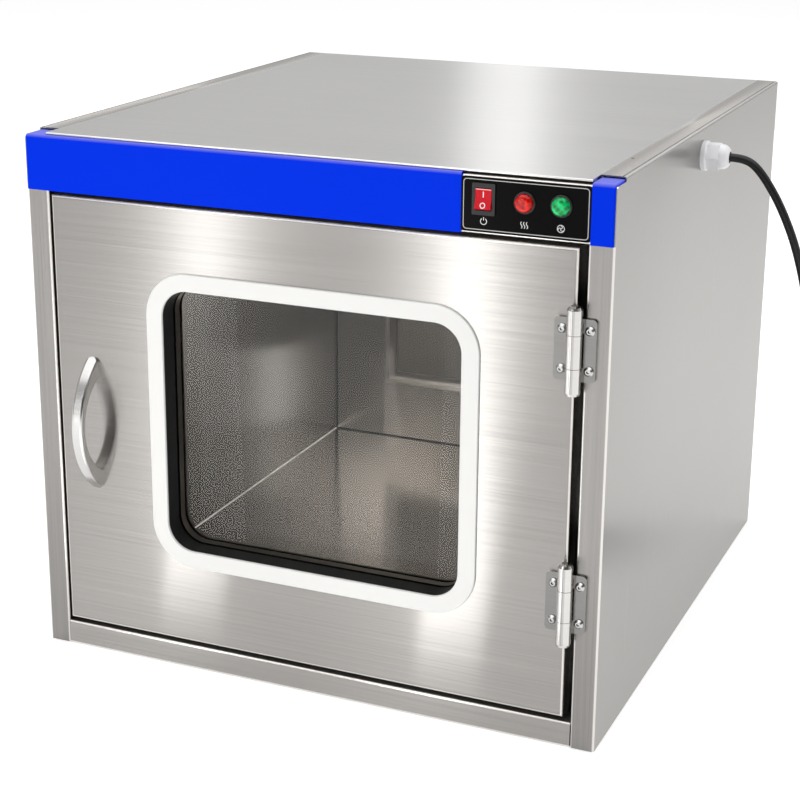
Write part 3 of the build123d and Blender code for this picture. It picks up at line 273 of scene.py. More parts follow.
# Painted highlight on level faces, which face the bright sky; their grain fades there.
painted_top_sheen = maths(brushed, "MULTIPLY", facing_up(brushed), entry.outputs["Top Sheen"])
calm = maths(brushed, "MAXIMUM", maths(brushed, "SUBTRACT", 1.0, painted_top_sheen), 0.0)
fine = maths(brushed, "MULTIPLY_ADD", maths(brushed, "SUBTRACT", fine, 0.5), calm, 0.5)
streak = maths(brushed, "MULTIPLY", maths(brushed, "SUBTRACT", fine, 0.5),
               entry.outputs["Streaks"])
cloud = maths(brushed, "MULTIPLY", maths(brushed, "SUBTRACT", broad, 0.5),
              entry.outputs["Cloud"])
shade = maths(brushed, "ADD", maths(brushed, "ADD", streak, cloud),
              maths(brushed, "ADD", painted_top_sheen, 1.0))
shade = maths(brushed, "ADD", shade, maths(brushed, "ADD", fold_highlight, front))
tone = brushed.nodes.new("ShaderNodeVectorMath")
tone.operation = "SCALE"
brushed.links.new(entry.outputs["Base"], tone.inputs[0])
brushed.links.new(shade, tone.inputs["Scale"])
brushed.links.new(tone.outputs[0], leave.inputs["Color"])
rough = maths(brushed, "MULTIPLY_ADD", maths(brushed, "SUBTRACT", fine, 0.5),
              entry.outputs["Spread"], entry.outputs["Roughness"])
brushed.links.new(rough, leave.inputs["Roughness"])
brushed.links.new(fine, leave.inputs["Height"])
print("group", brushed.name, "with", len(brushed.nodes), "nodes")

# %% [markdown]
# Mouldings and paint have no grain. They show a very fine skin from the mould or the spray gun,
# and a little dust that lightens them unevenly. Faces that look up can be lightened too, a painted
# highlight. The second group gives that: colour, roughness and height from two noises at different
# scales.

# %% Group for moulded and painted skins
skin, entry, leave = new_group(
    "moulded_skin",
    [("Base", "NodeSocketColor", (0.5, 0.5, 0.5, 1.0)), ("Grain Size", "NodeSocketFloat", 900.0),
     ("Dust", "NodeSocketFloat", 0.05), ("Roughness", "NodeSocketFloat", 0.4),
     ("Spread", "NodeSocketFloat", 0.1), ("Top Highlight", "NodeSocketFloat", 0.0)],
    [("Color", "NodeSocketColor"), ("Roughness", "NodeSocketFloat"), ("Height", "NodeSocketFloat")])
place = skin.nodes.new("ShaderNodeTexCoord").outputs["Object"]
pores = skin.nodes.new("ShaderNodeTexNoise")
pores.inputs["Detail"].default_value = 2.0
skin.links.new(place, pores.inputs["Vector"])
skin.links.new(entry.outputs["Grain Size"], pores.inputs["Scale"])
patches = noise(skin, place, 14.0, 3.0)
# Painted highlight on faces that look up, mixed in with the dust.
top_highlight = maths(skin, "MULTIPLY", facing_up(skin), entry.outputs["Top Highlight"])
dust = maths(skin, "MULTIPLY_ADD", patches, entry.outputs["Dust"], top_highlight)
dust_and_highlight = mix_colour(skin, dust, entry.outputs["Base"], (0.75, 0.74, 0.72))
skin.links.new(dust_and_highlight, leave.inputs["Color"])
rough = maths(skin, "MULTIPLY_ADD", maths(skin, "SUBTRACT", patches, 0.5),
              entry.outputs["Spread"], entry.outputs["Roughness"])
skin.links.new(rough, leave.inputs["Roughness"])
skin.links.new(pores.outputs["Fac"], leave.inputs["Height"])
print("group", skin.name, "with", len(skin.nodes), "nodes")


# %% [markdown]
# A material plugs one group into the colour, the roughness and the bump of its shader. What is the
# same all over a piece, such as how metallic it is, is set on the shader's own sockets.

# %% Helpers that make a material from a group
SCRATCH_DEPTH = 0.0002
SKIN_DEPTH = 0.0001


def shaded(name, group, values, bump, distance, **constants):
    """Material whose colour, roughness and bump come from a group; constants go on the shader."""
    material = bpy.data.materials.new(name)
    material.use_nodes = True
    tree = material.node_tree
    shader = tree.nodes["Principled BSDF"]
    effect = tree.nodes.new("ShaderNodeGroup")
    effect.node_tree = group
    for socket_name, value in values.items():
        effect.inputs[socket_name].default_value = value
    tree.links.new(effect.outputs["Color"], shader.inputs["Base Color"])
    tree.links.new(effect.outputs["Roughness"], shader.inputs["Roughness"])
    relief = tree.nodes.new("ShaderNodeBump")
    relief.inputs["Strength"].default_value = bump
    relief.inputs["Distance"].default_value = distance
    tree.links.new(effect.outputs["Height"], relief.inputs["Height"])
    tree.links.new(relief.outputs["Normal"], shader.inputs["Normal"])
    for socket_name, value in constants.items():
        shader.inputs[socket_name.replace("_", " ")].default_value = value
    return material, tree, shader, effect


# The amounts for level faces, for bends and for faces square to the front paint light and shade
# into the colour.
def brushed_steel(name, base, grain, roughness, streaks=0.20, spread=0.08, bump=0.03,
                  anisotropic=0.8, axis="Z", metal=1.0, top_sheen=0.0, front=0.0, folds=0.0):
    """Steel with scratches along one axis: grain is how many of them lie in a metre, per axis."""
    values = {"Base": (*base, 1.0), "Streaks": streaks, "Roughness": roughness,
              "Spread": spread, "Top Sheen": top_sheen, "Front Shade": front, "Fold Highlight": folds}
    material, tree, shader, effect = shaded(name, brushed, values, bump, SCRATCH_DEPTH,
                                            Metallic=metal, Anisotropic=anisotropic)
    where = tree.nodes.new("ShaderNodeTexCoord")
    stretch = tree.nodes.new("ShaderNodeMapping")
    stretch.inputs["Scale"].default_value = grain
    tree.links.new(where.outputs["Object"], stretch.inputs["Vector"])
    tree.links.new(stretch.outputs["Vector"], effect.inputs["Along"])
    if anisotropic:
        tangent = tree.nodes.new("ShaderNodeTangent")
        tangent.direction_type = "RADIAL"
        tangent.axis = axis
        tree.links.new(tangent.outputs["Tangent"], shader.inputs["Tangent"])
    return material


def moulded(name, base, roughness, dust=0.04, grain=900.0, spread=0.08, bump=0.08, top_highlight=0.0,
            **constants):
    """Plastic, rubber or paint with a fine skin."""
    values = {"Base": (*base, 1.0), "Dust": dust, "Roughness": roughness, "Grain Size": grain,
              "Spread": spread, "Top Highlight": top_highlight}
    return shaded(name, skin, values, bump, SKIN_DEPTH, **constants)[0]


# %% [markdown]
# ## The finishes
# The door, the top and the rail are brushed across, the posts, the sides and the liner upright.
# The numbers of the grain are scratches in a metre: few along it, many across it. Light that falls
# on a brushed sheet spreads at right angles to the scratches, so a narrow lamp gives a long bright
# band. The shader's anisotropy does that, with a tangent that turns round the scratches' axis.
# The handle, the hinges and the screws shine alike in every direction, so they get none.

# %% Steel finishes
ACROSS = (3.0, 900.0, 900.0)
UPRIGHT = (620.0, 620.0, 4.0)
LENGTHWISE = (620.0, 4.0, 620.0)
RINGS = (4.0, 4.0, 620.0)
SCATTERED = (300.0, 300.0, 300.0)
BLOTCHED = (60.0, 60.0, 60.0)
WARM = (0.34, 0.326, 0.312)
# Its folds are lightened as a painted highlight.
steel_across = brushed_steel("steel_across", WARM, ACROSS, 0.26, streaks=0.50, spread=0.06,
                             bump=0.02, anisotropic=1.0, axis="X", folds=1.2)
# The top is brushed across like the door, with a base about twice as light: a painted highlight for
# the bright sky above it.
lit_top_steel = brushed_steel("lit_top_steel", (0.66, 0.655, 0.65), ACROSS, 0.30, streaks=0.30, axis="X")
# Its level flanges are lightened and its front faces darkened, a painted highlight and shade; its
# bends get a painted highlight.
steel_upright = brushed_steel("steel_upright", (0.325, 0.313, 0.30), UPRIGHT, 0.26, streaks=0.36,
                              axis="Z", top_sheen=1.9, front=-0.22, folds=1.0)
steel_inside = brushed_steel("steel_inside", (0.34, 0.32, 0.30), LENGTHWISE, 0.30, axis="Y")
chamber_upright = brushed_steel("chamber_upright", (0.36, 0.335, 0.31), UPRIGHT, 0.24,
                                streaks=0.16, bump=0.01, axis="Z", metal=0.82)
chamber_across = brushed_steel("chamber_across", (0.42, 0.39, 0.36), ACROSS, 0.24, streaks=0.16,
                               bump=0.01, axis="X", metal=0.82)
chamber_floor = brushed_steel("chamber_floor_steel", (0.40, 0.38, 0.36), LENGTHWISE, 0.17,
                              streaks=0.12, bump=0.04, anisotropic=0.0, metal=0.9)
satin = brushed_steel("satin_bow", (0.56, 0.55, 0.54), RINGS, 0.22, streaks=0.10, bump=0.02,
                      spread=0.03, anisotropic=0.0)
# Painted shade darkens the leaves that face the front, and painted highlight lightens the slanted
# sides of the barrels.
polished = brushed_steel("polished_hinge", (0.44, 0.43, 0.415), RINGS, 0.19, streaks=0.14,
                         bump=0.02, spread=0.03, anisotropic=0.0, front=-0.50, folds=0.35)
screws = brushed_steel("polished_screw", (0.50, 0.50, 0.49), SCATTERED, 0.16, streaks=0.05,
                       bump=0.02, anisotropic=0.0)
galvanised = brushed_steel("galvanised_sheet", (0.50, 0.52, 0.53), BLOTCHED, 0.45, streaks=0.35,
                           bump=0.02, anisotropic=0.0)
print("steels made")

# %% [markdown]
# The covers of the header are sprayed blue, the control plate is black plastic, the window has a
# matt white frame, and the gland is nylon. A low specular level keeps the strong colours deep under
# the large lamp above. The panes have a low index of refraction, so that what lies behind them
# stays nearly in its place.

# %% Paint, plastics and rubber
# The covers' level faces are lightened, a painted highlight along their top.
blue_paint = moulded("blue_paint", (0.0, 0.030, 0.72), 0.30, dust=0.0, grain=260.0, bump=0.02,
                     top_highlight=0.22, Specular_IOR_Level=0.02)
plate_black = moulded("plate_black", (0.003, 0.003, 0.003), 0.16, dust=0.002, grain=500.0,
                      bump=0.01, Specular_IOR_Level=0.03)
switch_black = moulded("switch_black", (0.010, 0.010, 0.011), 0.36, dust=0.01,
                       Specular_IOR_Level=0.35)
rocker_red = moulded("rocker_red", (0.56, 0.0, 0.010), 0.22, dust=0.0, bump=0.02,
                     Specular_IOR_Level=0.15)
gasket_white = moulded("gasket_white", (0.79, 0.785, 0.765), 0.55, dust=0.03,
                       Specular_IOR_Level=0.25)
rubber = moulded("black_rubber", (0.010, 0.010, 0.010), 0.5, dust=0.01, Specular_IOR_Level=0.3)
nylon = moulded("white_nylon", (0.80, 0.80, 0.82), 0.35, dust=0.02)
cord_rubber = moulded("cord_rubber", (0.007, 0.007, 0.008), 0.36, dust=0.004,
                      Specular_IOR_Level=0.35)
silver_print = moulded("silver_print", (0.50, 0.50, 0.49), 0.4, dust=0.05)
white_print = moulded("white_print", (0.86, 0.86, 0.86), 0.5, dust=0.03)
media = moulded("filter_media", (0.78, 0.78, 0.74), 0.8, dust=0.1, grain=300.0, bump=0.3)
glass = moulded("window_glass", (0.98, 0.99, 0.985), 0.0, dust=0.0, spread=0.0, bump=0.0,
                Transmission_Weight=1.0, IOR=1.16)
print(len(bpy.data.materials), "materials")

# %% [markdown]
# A lamp lens is moulded with small prisms inside, which break the light of the bulb into bright
# and dark cells. A Voronoi texture has the same look: every cell is dark in its middle and bright
# at its rim, and the same distance gives the bump its slopes.

# %% Group for cut lenses
prisms, entry, leave = new_group(
    "lens_prisms",
    [("Deep", "NodeSocketColor", (0.5, 0.0, 0.0, 1.0)),
     ("Bright", "NodeSocketColor", (1.0, 0.2, 0.1, 1.0)), ("Cell Size", "NodeSocketFloat", 240.0),
     ("Roughness", "NodeSocketFloat", 0.08)],
    [("Color", "NodeSocketColor"), ("Roughness", "NodeSocketFloat"), ("Height", "NodeSocketFloat")])
place = prisms.nodes.new("ShaderNodeTexCoord").outputs["Object"]
cells = prisms.nodes.new("ShaderNodeTexVoronoi")
prisms.links.new(place, cells.inputs["Vector"])
prisms.links.new(entry.outputs["Cell Size"], cells.inputs["Scale"])
sparkle = maths(prisms, "POWER", cells.outputs["Distance"], 1.6)
lit = mix_colour(prisms, maths(prisms, "MULTIPLY", sparkle, 1.4), entry.outputs["Deep"],
                 entry.outputs["Bright"])
prisms.links.new(lit, leave.inputs["Color"])
prisms.links.new(maths(prisms, "MULTIPLY_ADD", sparkle, 0.1, entry.outputs["Roughness"]),
                 leave.inputs["Roughness"])
prisms.links.new(cells.outputs["Distance"], leave.inputs["Height"])


def cut_lens(name, deep, bright, glow):
    """Coloured lens that glows a little, as a lamp behind it does."""
    values = {"Deep": (*deep, 1.0), "Bright": (*bright, 1.0)}
    material, tree, shader, effect = shaded(name, prisms, values, 0.25, 0.0006, Coat_Weight=0.25,
                                            Emission_Strength=glow, Specular_IOR_Level=0.25)
    tree.links.new(effect.outputs["Color"], shader.inputs["Emission Color"])
    return material


lens_red = cut_lens("lens_red", (0.22, 0.0, 0.0), (0.78, 0.01, 0.002), 0.06)
lens_green = cut_lens("lens_green", (0.0, 0.12, 0.025), (0.0, 0.62, 0.17), 0.06)

# %% [markdown]
# The screen in front of the filter is woven from fine wire. Thousands of real wires would be too
# much for so small a piece, so two zigzag waves at right angles draw them, with dark gaps between.

# %% Group for woven wire
WIRE_EDGE = 0.55
woven, entry, leave = new_group(
    "woven_wire",
    [("Wires", "NodeSocketFloat", 700.0), ("Wire", "NodeSocketColor", (0.5, 0.48, 0.45, 1.0)),
     ("Gap", "NodeSocketColor", (0.02, 0.02, 0.02, 1.0)), ("Roughness", "NodeSocketFloat", 0.35)],
    [("Color", "NodeSocketColor"), ("Roughness", "NodeSocketFloat"), ("Height", "NodeSocketFloat")])
place = woven.nodes.new("ShaderNodeTexCoord").outputs["Object"]
parts = woven.nodes.new("ShaderNodeSeparateXYZ")
woven.links.new(place, parts.inputs["Vector"])
ridges = []
for axis in ("X", "Z"):
    phase = maths(woven, "MULTIPLY", parts.outputs[axis], entry.outputs["Wires"])
    saw = maths(woven, "PINGPONG", phase, 0.5)
    ridges.append(maths(woven, "MULTIPLY", saw, 2.0))
ridge = maths(woven, "MAXIMUM", ridges[0], ridges[1])
mask = maths(woven, "GREATER_THAN", ridge, WIRE_EDGE)
woven.links.new(mix_colour(woven, mask, entry.outputs["Gap"], entry.outputs["Wire"]),
                leave.inputs["Color"])
woven.links.new(maths(woven, "MULTIPLY_ADD", mask, 0.1, entry.outputs["Roughness"]),
                leave.inputs["Roughness"])
woven.links.new(ridge, leave.inputs["Height"])
wire_cloth = shaded("wire_cloth", woven, {"Wires": 520.0, "Wire": (0.20, 0.175, 0.15, 1.0)},
                    0.5, 0.0004, Metallic=0.7)[0]
print("lens and wire finishes made")

# %% [markdown]
# ## Finishes on the solids
# One table says which solids have which finish, so a change of finish is a change of one line. The
# solids behind the chamber are dressed too, because they show when the cabinet is taken apart.

# %% Dress the solids
finishes = {
    steel_across: ["door_skin", "door_inner_pan", "bottom_panel", "header_rail", "back_panel"],
    lit_top_steel: ["top_panel"],
    steel_upright: ["left_side_panel", "right_side_panel", "stop_frame", "strike_plate"],
    steel_inside: ["filter_frame"],
    wire_cloth: ["filter_screen"],
    chamber_upright: ["chamber_left_wall", "chamber_right_wall", "chamber_back_left",
                      "chamber_back_right"],
    chamber_across: ["chamber_back_centre"],
    chamber_floor: ["chamber_floor", "chamber_ceiling"],
    satin: ["handle"],
    polished: ["frame_leaf_lower", "frame_leaf_upper", "door_leaf_lower", "door_leaf_upper",
               "hinge_pins"],
    screws: ["door_leaf_screws", "frame_leaf_screws", "handle_screws", "back_screws", "plug_pins"],
    galvanised: ["supply_plenum", "blower_housing", "blower_motor", "heater_element"],
    blue_paint: ["fascia_cover_left", "fascia_cover_right"],
    plate_black: ["control_plate"],
    switch_black: ["switch_housing", "heater_lamp_bezel", "blower_lamp_bezel", "terminal_block",
                   "thermostat", "impeller"],
    rocker_red: ["rocker"],
    lens_red: ["heater_lamp_lens"],
    lens_green: ["blower_lamp_lens"],
    gasket_white: ["window_gasket"],
    rubber: ["glazing_seal", "door_seal", "gland_seal", "magnet_catch"],
    glass: ["outer_glass", "inner_glass"],
    nylon: ["gland_body", "gland_nut", "gland_locknut"],
    cord_rubber: ["power_cord", "cord_coil", "plug_body"],
    media: ["fine_filter"],
}
for finish, names in finishes.items():
    for name in names:
        for slot in nodes[name].material_slots:
            slot.material = finish
cord_curve.materials.append(cord_rubber)
dressed = sum(len(names) for names in finishes.values())
print(dressed, "of", len(nodes), "solids dressed")

# %% [markdown]
# ## Signs and lines of the control plate
# The plate carries a thin silver line near its edge, and under the switch and the lamps small
# white signs for power, heat and fan. Printed ink has no thickness to speak of. Here each sign is
# a flat strip of mesh that is laid on the surface behind it: a ray from the front finds that
# surface, so the marks of the rocker follow its slope.

# %% Helpers for printed marks
surfaces = {}
ray_start_y = -0.40


def surface_of(name):
    """Search tree of a solid's surface, made once."""
    if name not in surfaces:
        data = nodes[name].data
        surfaces[name] = BVHTree.FromPolygons([vertex.co for vertex in data.vertices],
                                              [face.vertices for face in data.polygons])
    return surfaces[name]


def stroke(mesh, line, width, closed=False):
    """Flat strip of even width along a line of points in the plane of the front."""
    line = [Vector(point) for point in line]
    count = len(line)
    pairs = []
    for number, point in enumerate(line):
        before = line[number - 1] if number or closed else point
        after = line[(number + 1) % count] if number < count - 1 or closed else point
        way = (after - before).normalized()
        side = Vector((-way.y, way.x)) * width / 2
        pairs.append((mesh.verts.new((*(point + side), 0.0)),
                      mesh.verts.new((*(point - side), 0.0))))
    for number in range(count if closed else count - 1):
        first, second = pairs[number], pairs[(number + 1) % count]
        mesh.faces.new((first[0], first[1], second[1], second[0]))


def lay_on(mesh, name, x, z, lift=0.00012):
    """Move a flat drawing to a place on the front and press it on a solid's surface."""
    tree = surface_of(name)
    for vertex in mesh.verts:
        from_front = Vector((x + vertex.co.x, ray_start_y, z + vertex.co.y))
        hit = tree.ray_cast(from_front, Vector((0.0, 1.0, 0.0)))[0]
        vertex.co = hit - Vector((0.0, lift, 0.0))


def arc(radius, start, end, steps=20, centre=(0.0, 0.0)):
    """Points of an arc; angles in degrees."""
    return [Vector((centre[0] + radius * cos(radians(start + (end - start) * step / steps)),
                    centre[1] + radius * sin(radians(start + (end - start) * step / steps))))
            for step in range(steps + 1)]


# %% [markdown]
# The silver line follows the edge of the plate at an even distance, with rounded corners. It takes
# its size from the plate, so it can't run off it.

# %% Silver line of the plate
plate_low, plate_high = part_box("control_plate")
plate_mid = ((plate_low[0] + plate_high[0]) / 2, (plate_low[2] + plate_high[2]) / 2)
line_inset = 0.0023
line_corner = 0.003
line_width = 0.0007
border = bmesh.new()
stroke(border, rounded_outline(plate_high[0] - plate_low[0] - 2 * line_inset,
                               plate_high[2] - plate_low[2] - 2 * line_inset, line_corner),
       line_width, closed=True)
lay_on(border, "control_plate", *plate_mid)
hang("plate_border_line", border, silver_print)
print("plate", [round(value, 4) for value in (*plate_low, *plate_high)])

# %% [markdown]
# Signs need no language. Power is an open ring with a bar, heat is three waves, and the fan is a
# ring with three curved blades. Each stands below the switch or the lamp that it belongs to.

# %% Signs for power, heat and fan
SIGN_Z = 0.4980
SIGN = 0.0029
POWER_X, HEAT_X, FAN_X = 0.1795, 0.2174, 0.251
sign_width = 0.0006
fan_width = 0.0005
wave_gap = 0.0026
wave_swing = 0.0007
wave_steps = 16
power_sign = bmesh.new()
stroke(power_sign, arc(SIGN, 125, 415), sign_width)
stroke(power_sign, [(0.0, 0.0008), (0.0, SIGN * 1.35)], sign_width)
lay_on(power_sign, "control_plate", POWER_X, SIGN_Z)
hang("sign_power", power_sign, white_print)

heat_sign = bmesh.new()
for offset in (-wave_gap, 0.0, wave_gap):
    wave = [(offset + wave_swing * sin(2 * pi * step / wave_steps),
             -SIGN + 2 * SIGN * step / wave_steps) for step in range(wave_steps + 1)]
    stroke(heat_sign, wave, sign_width)
lay_on(heat_sign, "control_plate", HEAT_X, SIGN_Z)
hang("sign_heat", heat_sign, white_print)

fan_sign = bmesh.new()
stroke(fan_sign, arc(SIGN * 1.12, 0, 342, steps=19), fan_width, closed=True)
for turn in (90, 210, 330):
    tip = Vector((cos(radians(turn)), sin(radians(turn)))) * SIGN * 0.46
    stroke(fan_sign, arc(SIGN * 0.46, turn - 180, turn, steps=10, centre=tip), fan_width)
lay_on(fan_sign, "control_plate", FAN_X, SIGN_Z)
hang("sign_fan", fan_sign, white_print)
print("signs at", POWER_X, HEAT_X, FAN_X)

# %% [markdown]
# The face of the rocker is two flat halves that meet in a shallow valley. A bar for on lies on the
# upper half and a ring for off on the lower one. Both ride on the rocker and turn with it.

# %% Marks of the rocker
rocker_low, rocker_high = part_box("rocker")
rocker_mid = ((rocker_low[0] + rocker_high[0]) / 2, (rocker_low[2] + rocker_high[2]) / 2)
rocker_size = (rocker_high[0] - rocker_low[0], rocker_high[2] - rocker_low[2])
on_mark = bmesh.new()
stroke(on_mark, [(0.0, step * 0.0013) for step in (-2, -1, 0, 1, 2)], 0.0009)
lay_on(on_mark, "rocker", rocker_mid[0], rocker_mid[1] + 0.22 * rocker_size[1])
hang("rocker_on_mark", on_mark, white_print, body="rocker")
off_mark = bmesh.new()
stroke(off_mark, arc(0.0022, 0, 342, steps=19), 0.0008, closed=True)
lay_on(off_mark, "rocker", rocker_mid[0], rocker_mid[1] - 0.26 * rocker_size[1])
hang("rocker_off_mark", off_mark, white_print, body="rocker")
print("rocker", [round(value, 4) for value in (*rocker_low, *rocker_high)])

# %% [markdown]
# ## Seams of the chamber
# Where the sheets of the chamber meet, a thin bead is set in the corner. Along the floor's sides it
# is a rounded fillet in a pale steel, whose paleness is a painted highlight: a bright line from the
# door to the back. At the back the beads are dark, a painted shadow in the gaps between the sheets.
# Each bead is a hollow quarter-round strip set in its corner.

# %% Beads along the corners
floor_bead = 0.0012
corner_bead = 0.0022
back_bead = 0.0016
bead_start = 0.002
# Pale steel for the floor beads: a painted highlight along the floor's sides.
bead_highlight_steel = brushed_steel("bead_highlight_steel", (0.86, 0.83, 0.79), LENGTHWISE, 0.30, anisotropic=0.0,
                           metal=0.45)


def bead(mesh, start, end, first, second, size, steps=4):
    """Hollow quarter-round fillet of two planes; first and second point away from the corner."""
    first, second = Vector(first) * size, Vector(second) * size
    rings = []
    for end_point in (Vector(start), Vector(end)):
        ring = []
        for step in range(steps + 1):
            angle = pi / 2 * step / steps
            inward = first * (1 - sin(angle)) + second * (1 - cos(angle))
            ring.append(mesh.verts.new(end_point + inward))
        rings.append(ring)
    for step in range(steps):
        mesh.faces.new((rings[0][step], rings[0][step + 1], rings[1][step + 1], rings[1][step]))


floor_low, floor_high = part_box("chamber_floor")
ceiling_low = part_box("chamber_ceiling")[0]
left_x, right_x = floor_low[0], floor_high[0]
front_y, back_y = floor_low[1] + bead_start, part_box("chamber_back_left")[0][1]
floor_z, ceiling_z = floor_high[2], ceiling_low[2]
highlight_beads = bmesh.new()
for side_x, way in ((left_x, 1), (right_x, -1)):
    bead(highlight_beads, (side_x, front_y, floor_z), (side_x, back_y, floor_z), (way, 0, 0),
         (0, 0, 1), floor_bead)
hang("floor_beads", highlight_beads, bead_highlight_steel)
# Dark beads at the back: a painted shadow in the seams.
shadow_beads = bmesh.new()
for corner_x, way in ((left_x, 1), (right_x, -1)):
    bead(shadow_beads, (corner_x, back_y, floor_z), (corner_x, back_y, ceiling_z), (way, 0, 0),
         (0, -1, 0), corner_bead)
bead(shadow_beads, (left_x, back_y, floor_z), (right_x, back_y, floor_z), (0, -1, 0), (0, 0, 1),
     back_bead)
hang("back_shadow_beads", shadow_beads, rubber)
print("chamber", round(right_x - left_x, 3), "x", round(back_y - front_y, 3), "x",
      round(ceiling_z - floor_z, 3), "m")

# %% [markdown]
# ## Spacer of the double window
# The two panes are held apart by a hollow metal bar, which shows as a grey band behind the outer
# pane. It is a ring that follows the rubber frame, a third of a millimetre inside it. Rays from the
# middle of the window find where the rubber is.

# %% Spacer bar
outer_low, outer_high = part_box("outer_glass")
inner_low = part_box("inner_glass")[0]
window_mid = Vector(((outer_low[0] + outer_high[0]) / 2, (outer_high[1] + inner_low[1]) / 2,
                     (outer_low[2] + outer_high[2]) / 2))
seal_play = 0.0003
pane_play = 0.0002
spacer_corner = 0.0275
seal_tree = surface_of("glazing_seal")
reach_x = seal_tree.ray_cast(window_mid, Vector((1.0, 0.0, 0.0)))[3] - seal_play
reach_z = seal_tree.ray_cast(window_mid, Vector((0.0, 0.0, 1.0)))[3] - seal_play
spacer = bmesh.new()
rings = []
for y in (outer_high[1] + pane_play, inner_low[1] - pane_play):
    rings.append([spacer.verts.new((window_mid.x + point.x, y, window_mid.z + point.y))
                  for point in rounded_outline(2 * reach_x, 2 * reach_z, spacer_corner)])
for number in range(len(rings[0])):
    after = (number + 1) % len(rings[0])
    spacer.faces.new((rings[0][number], rings[0][after], rings[1][after], rings[1][number]))
hang("window_spacer", spacer, steel_inside, body="door")
print("window", round(2 * reach_x, 4), "x", round(2 * reach_z, 4), "m")

# %% [markdown]
# The upper edge of a moulded rocker is a little rounded, and catches the light as a thin pale line.
# The solid is sharp there, so the highlight is painted on: a line laid on like the marks,
# in a paler red.

# %% Painted highlight on the rocker's edge
lip_inset = 0.0011
lip_width = 0.0008
lip_highlight = bmesh.new()
stroke(lip_highlight, [(rocker_size[0] * share, 0.0) for share in (-0.44, -0.2, 0.0, 0.2, 0.44)], lip_width)
lay_on(lip_highlight, "rocker", rocker_mid[0], rocker_high[2] - lip_inset)
lip_highlight_red = moulded("lip_highlight_red", (0.95, 0.42, 0.42), 0.3, dust=0.0)
hang("rocker_lip_highlight", lip_highlight, lip_highlight_red, body="rocker")

# %% [markdown]

# %% [markdown]
# ## Floor and light
# The cabinet stands on a plain white floor, as in a studio tent. The floor glows a little, so that
# it comes out white without a lamp so strong that it would bleach the steel.

# %% Floor
floor_mesh = bmesh.new()
bmesh.ops.create_grid(floor_mesh, x_segments=8, y_segments=8, size=14.0)
floor_data = bpy.data.meshes.new("studio_floor")
floor_mesh.to_mesh(floor_data)
floor_mesh.free()
floor = bpy.data.objects.new("studio_floor", floor_data)
floor.location.z = -0.0005
scene.collection.objects.link(floor)
floor_paint = moulded("floor_paint", (0.90, 0.90, 0.90), 0.7, dust=0.02, grain=60.0, bump=0.0,
                      Emission_Color=(1.0, 1.0, 1.0, 1.0), Emission_Strength=0.40)
floor_data.materials.append(floor_paint)
print("floor of", len(floor_data.polygons), "faces")

# %% [markdown]
# One large lamp hangs above, and one stands far off at the right side. The bright bands come from
# tall narrow strips: two far in front for the upper door, two low ones close to it for the lower
# door, and one behind for the top. Three small lamps in the chamber stand for the light that gets
# in there. The sky is brighter above than at the sides, and dark towards the right front, so that
# the steel passes slowly from light to dark.


# %% Lamps and sky
def soft_lamp(name, place, target, size, power):
    """Rectangular lamp that looks at a point and isn't seen itself, not even through glass."""
    data = bpy.data.lights.new(name, "AREA")
    data.shape = "RECTANGLE"
    data.size, data.size_y = size
    data.energy = power
    lamp = bpy.data.objects.new(name, data)
    lamp.location = place
    lamp.rotation_euler = (Vector(target) - Vector(place)).to_track_quat("-Z", "Y").to_euler()
    lamp.visible_camera = False
    lamp.visible_transmission = False
    scene.collection.objects.link(lamp)


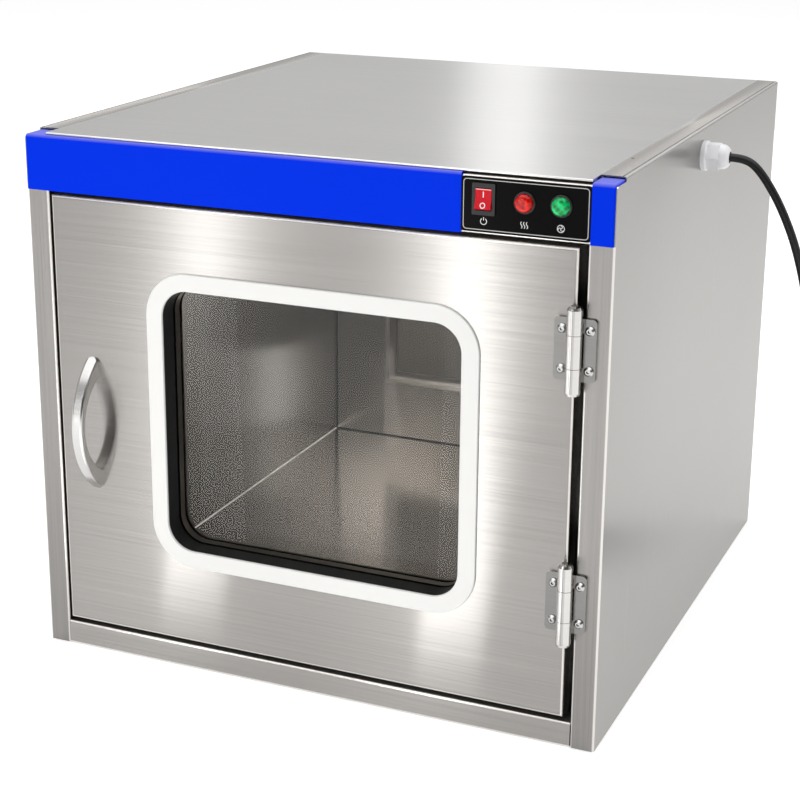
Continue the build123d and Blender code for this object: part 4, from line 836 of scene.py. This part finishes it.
soft_lamp("overhead_lamp", (0.0, -0.2, 3.2), (0, 0, 0.3), (5.0, 5.0), 92)
soft_lamp("left_strip", (-1.80, -3.35, 0.8), (-0.12, -0.32, 0.27), (0.16, 2.4), 8.2)
soft_lamp("right_strip", (-1.12, -3.62, 0.9), (0.16, -0.32, 0.27), (0.20, 2.4), 9.2)
soft_lamp("left_floor_strip", (-0.484, -0.976, 0.13), (-0.402, -0.827, 1.1), (0.07, 1.2), 0.75)
soft_lamp("right_floor_strip", (-0.111, -1.019, 0.13), (-0.05, -0.861, 1.1), (0.07, 1.2), 0.95)
soft_lamp("back_strip", (-1.36, 3.9, 2.1), (0.1, 0.1, 0.54), (0.26, 1.6), 2.0)
soft_lamp("side_lamp", (3.0, 1.2, 1.3), (0.3, 0, 0.25), (1.6, 1.6), 10)
soft_lamp("wall_lamp", (-0.13, 0.205, 0.12), (-0.23, 0.19, 0.11), (0.05, 0.12), 0.03)
soft_lamp("front_lamp", (-0.10, -0.22, 0.36), (-0.18, 0.23, 0.10), (0.16, 0.16), 1.0)
soft_lamp("back_lamp", (-0.08, 0.06, 0.045), (-0.12, 0.235, 0.10), (0.12, 0.05), 0.16)

world = bpy.data.worlds.new("studio_sky")
scene.world = world
world.use_nodes = True
sky = world.node_tree
background = sky.nodes["Background"]
direction = sky.nodes.new("ShaderNodeTexCoord").outputs["Generated"]
split = sky.nodes.new("ShaderNodeSeparateXYZ")
sky.links.new(direction, split.inputs["Vector"])
ramp = sky.nodes.new("ShaderNodeValToRGB")
ramp.color_ramp.elements[0].position = 0.0
ramp.color_ramp.elements[0].color = (0.34, 0.335, 0.33, 1)
ramp.color_ramp.elements[1].position = 0.8
ramp.color_ramp.elements[1].color = (0.95, 0.95, 0.95, 1)
sky.links.new(split.outputs["Z"], ramp.inputs["Fac"])
aside = sky.nodes.new("ShaderNodeVectorMath")
aside.operation = "DOT_PRODUCT"
sky.links.new(direction, aside.inputs[0])
aside.inputs[1].default_value = (0.45, -0.89, 0.0)
shade = sky.nodes.new("ShaderNodeMapRange")
shade.interpolation_type = "SMOOTHSTEP"
for socket_name, value in (("From Min", 0.45), ("From Max", 0.95), ("To Min", 1.0),
                           ("To Max", 0.12)):
    shade.inputs[socket_name].default_value = value
sky.links.new(aside.outputs["Value"], shade.inputs["Value"])
shaded_sky = sky.nodes.new("ShaderNodeVectorMath")
shaded_sky.operation = "SCALE"
sky.links.new(ramp.outputs["Color"], shaded_sky.inputs[0])
sky.links.new(shade.outputs["Result"], shaded_sky.inputs["Scale"])
sky.links.new(shaded_sky.outputs[0], background.inputs["Color"])
background.inputs["Strength"].default_value = 0.8
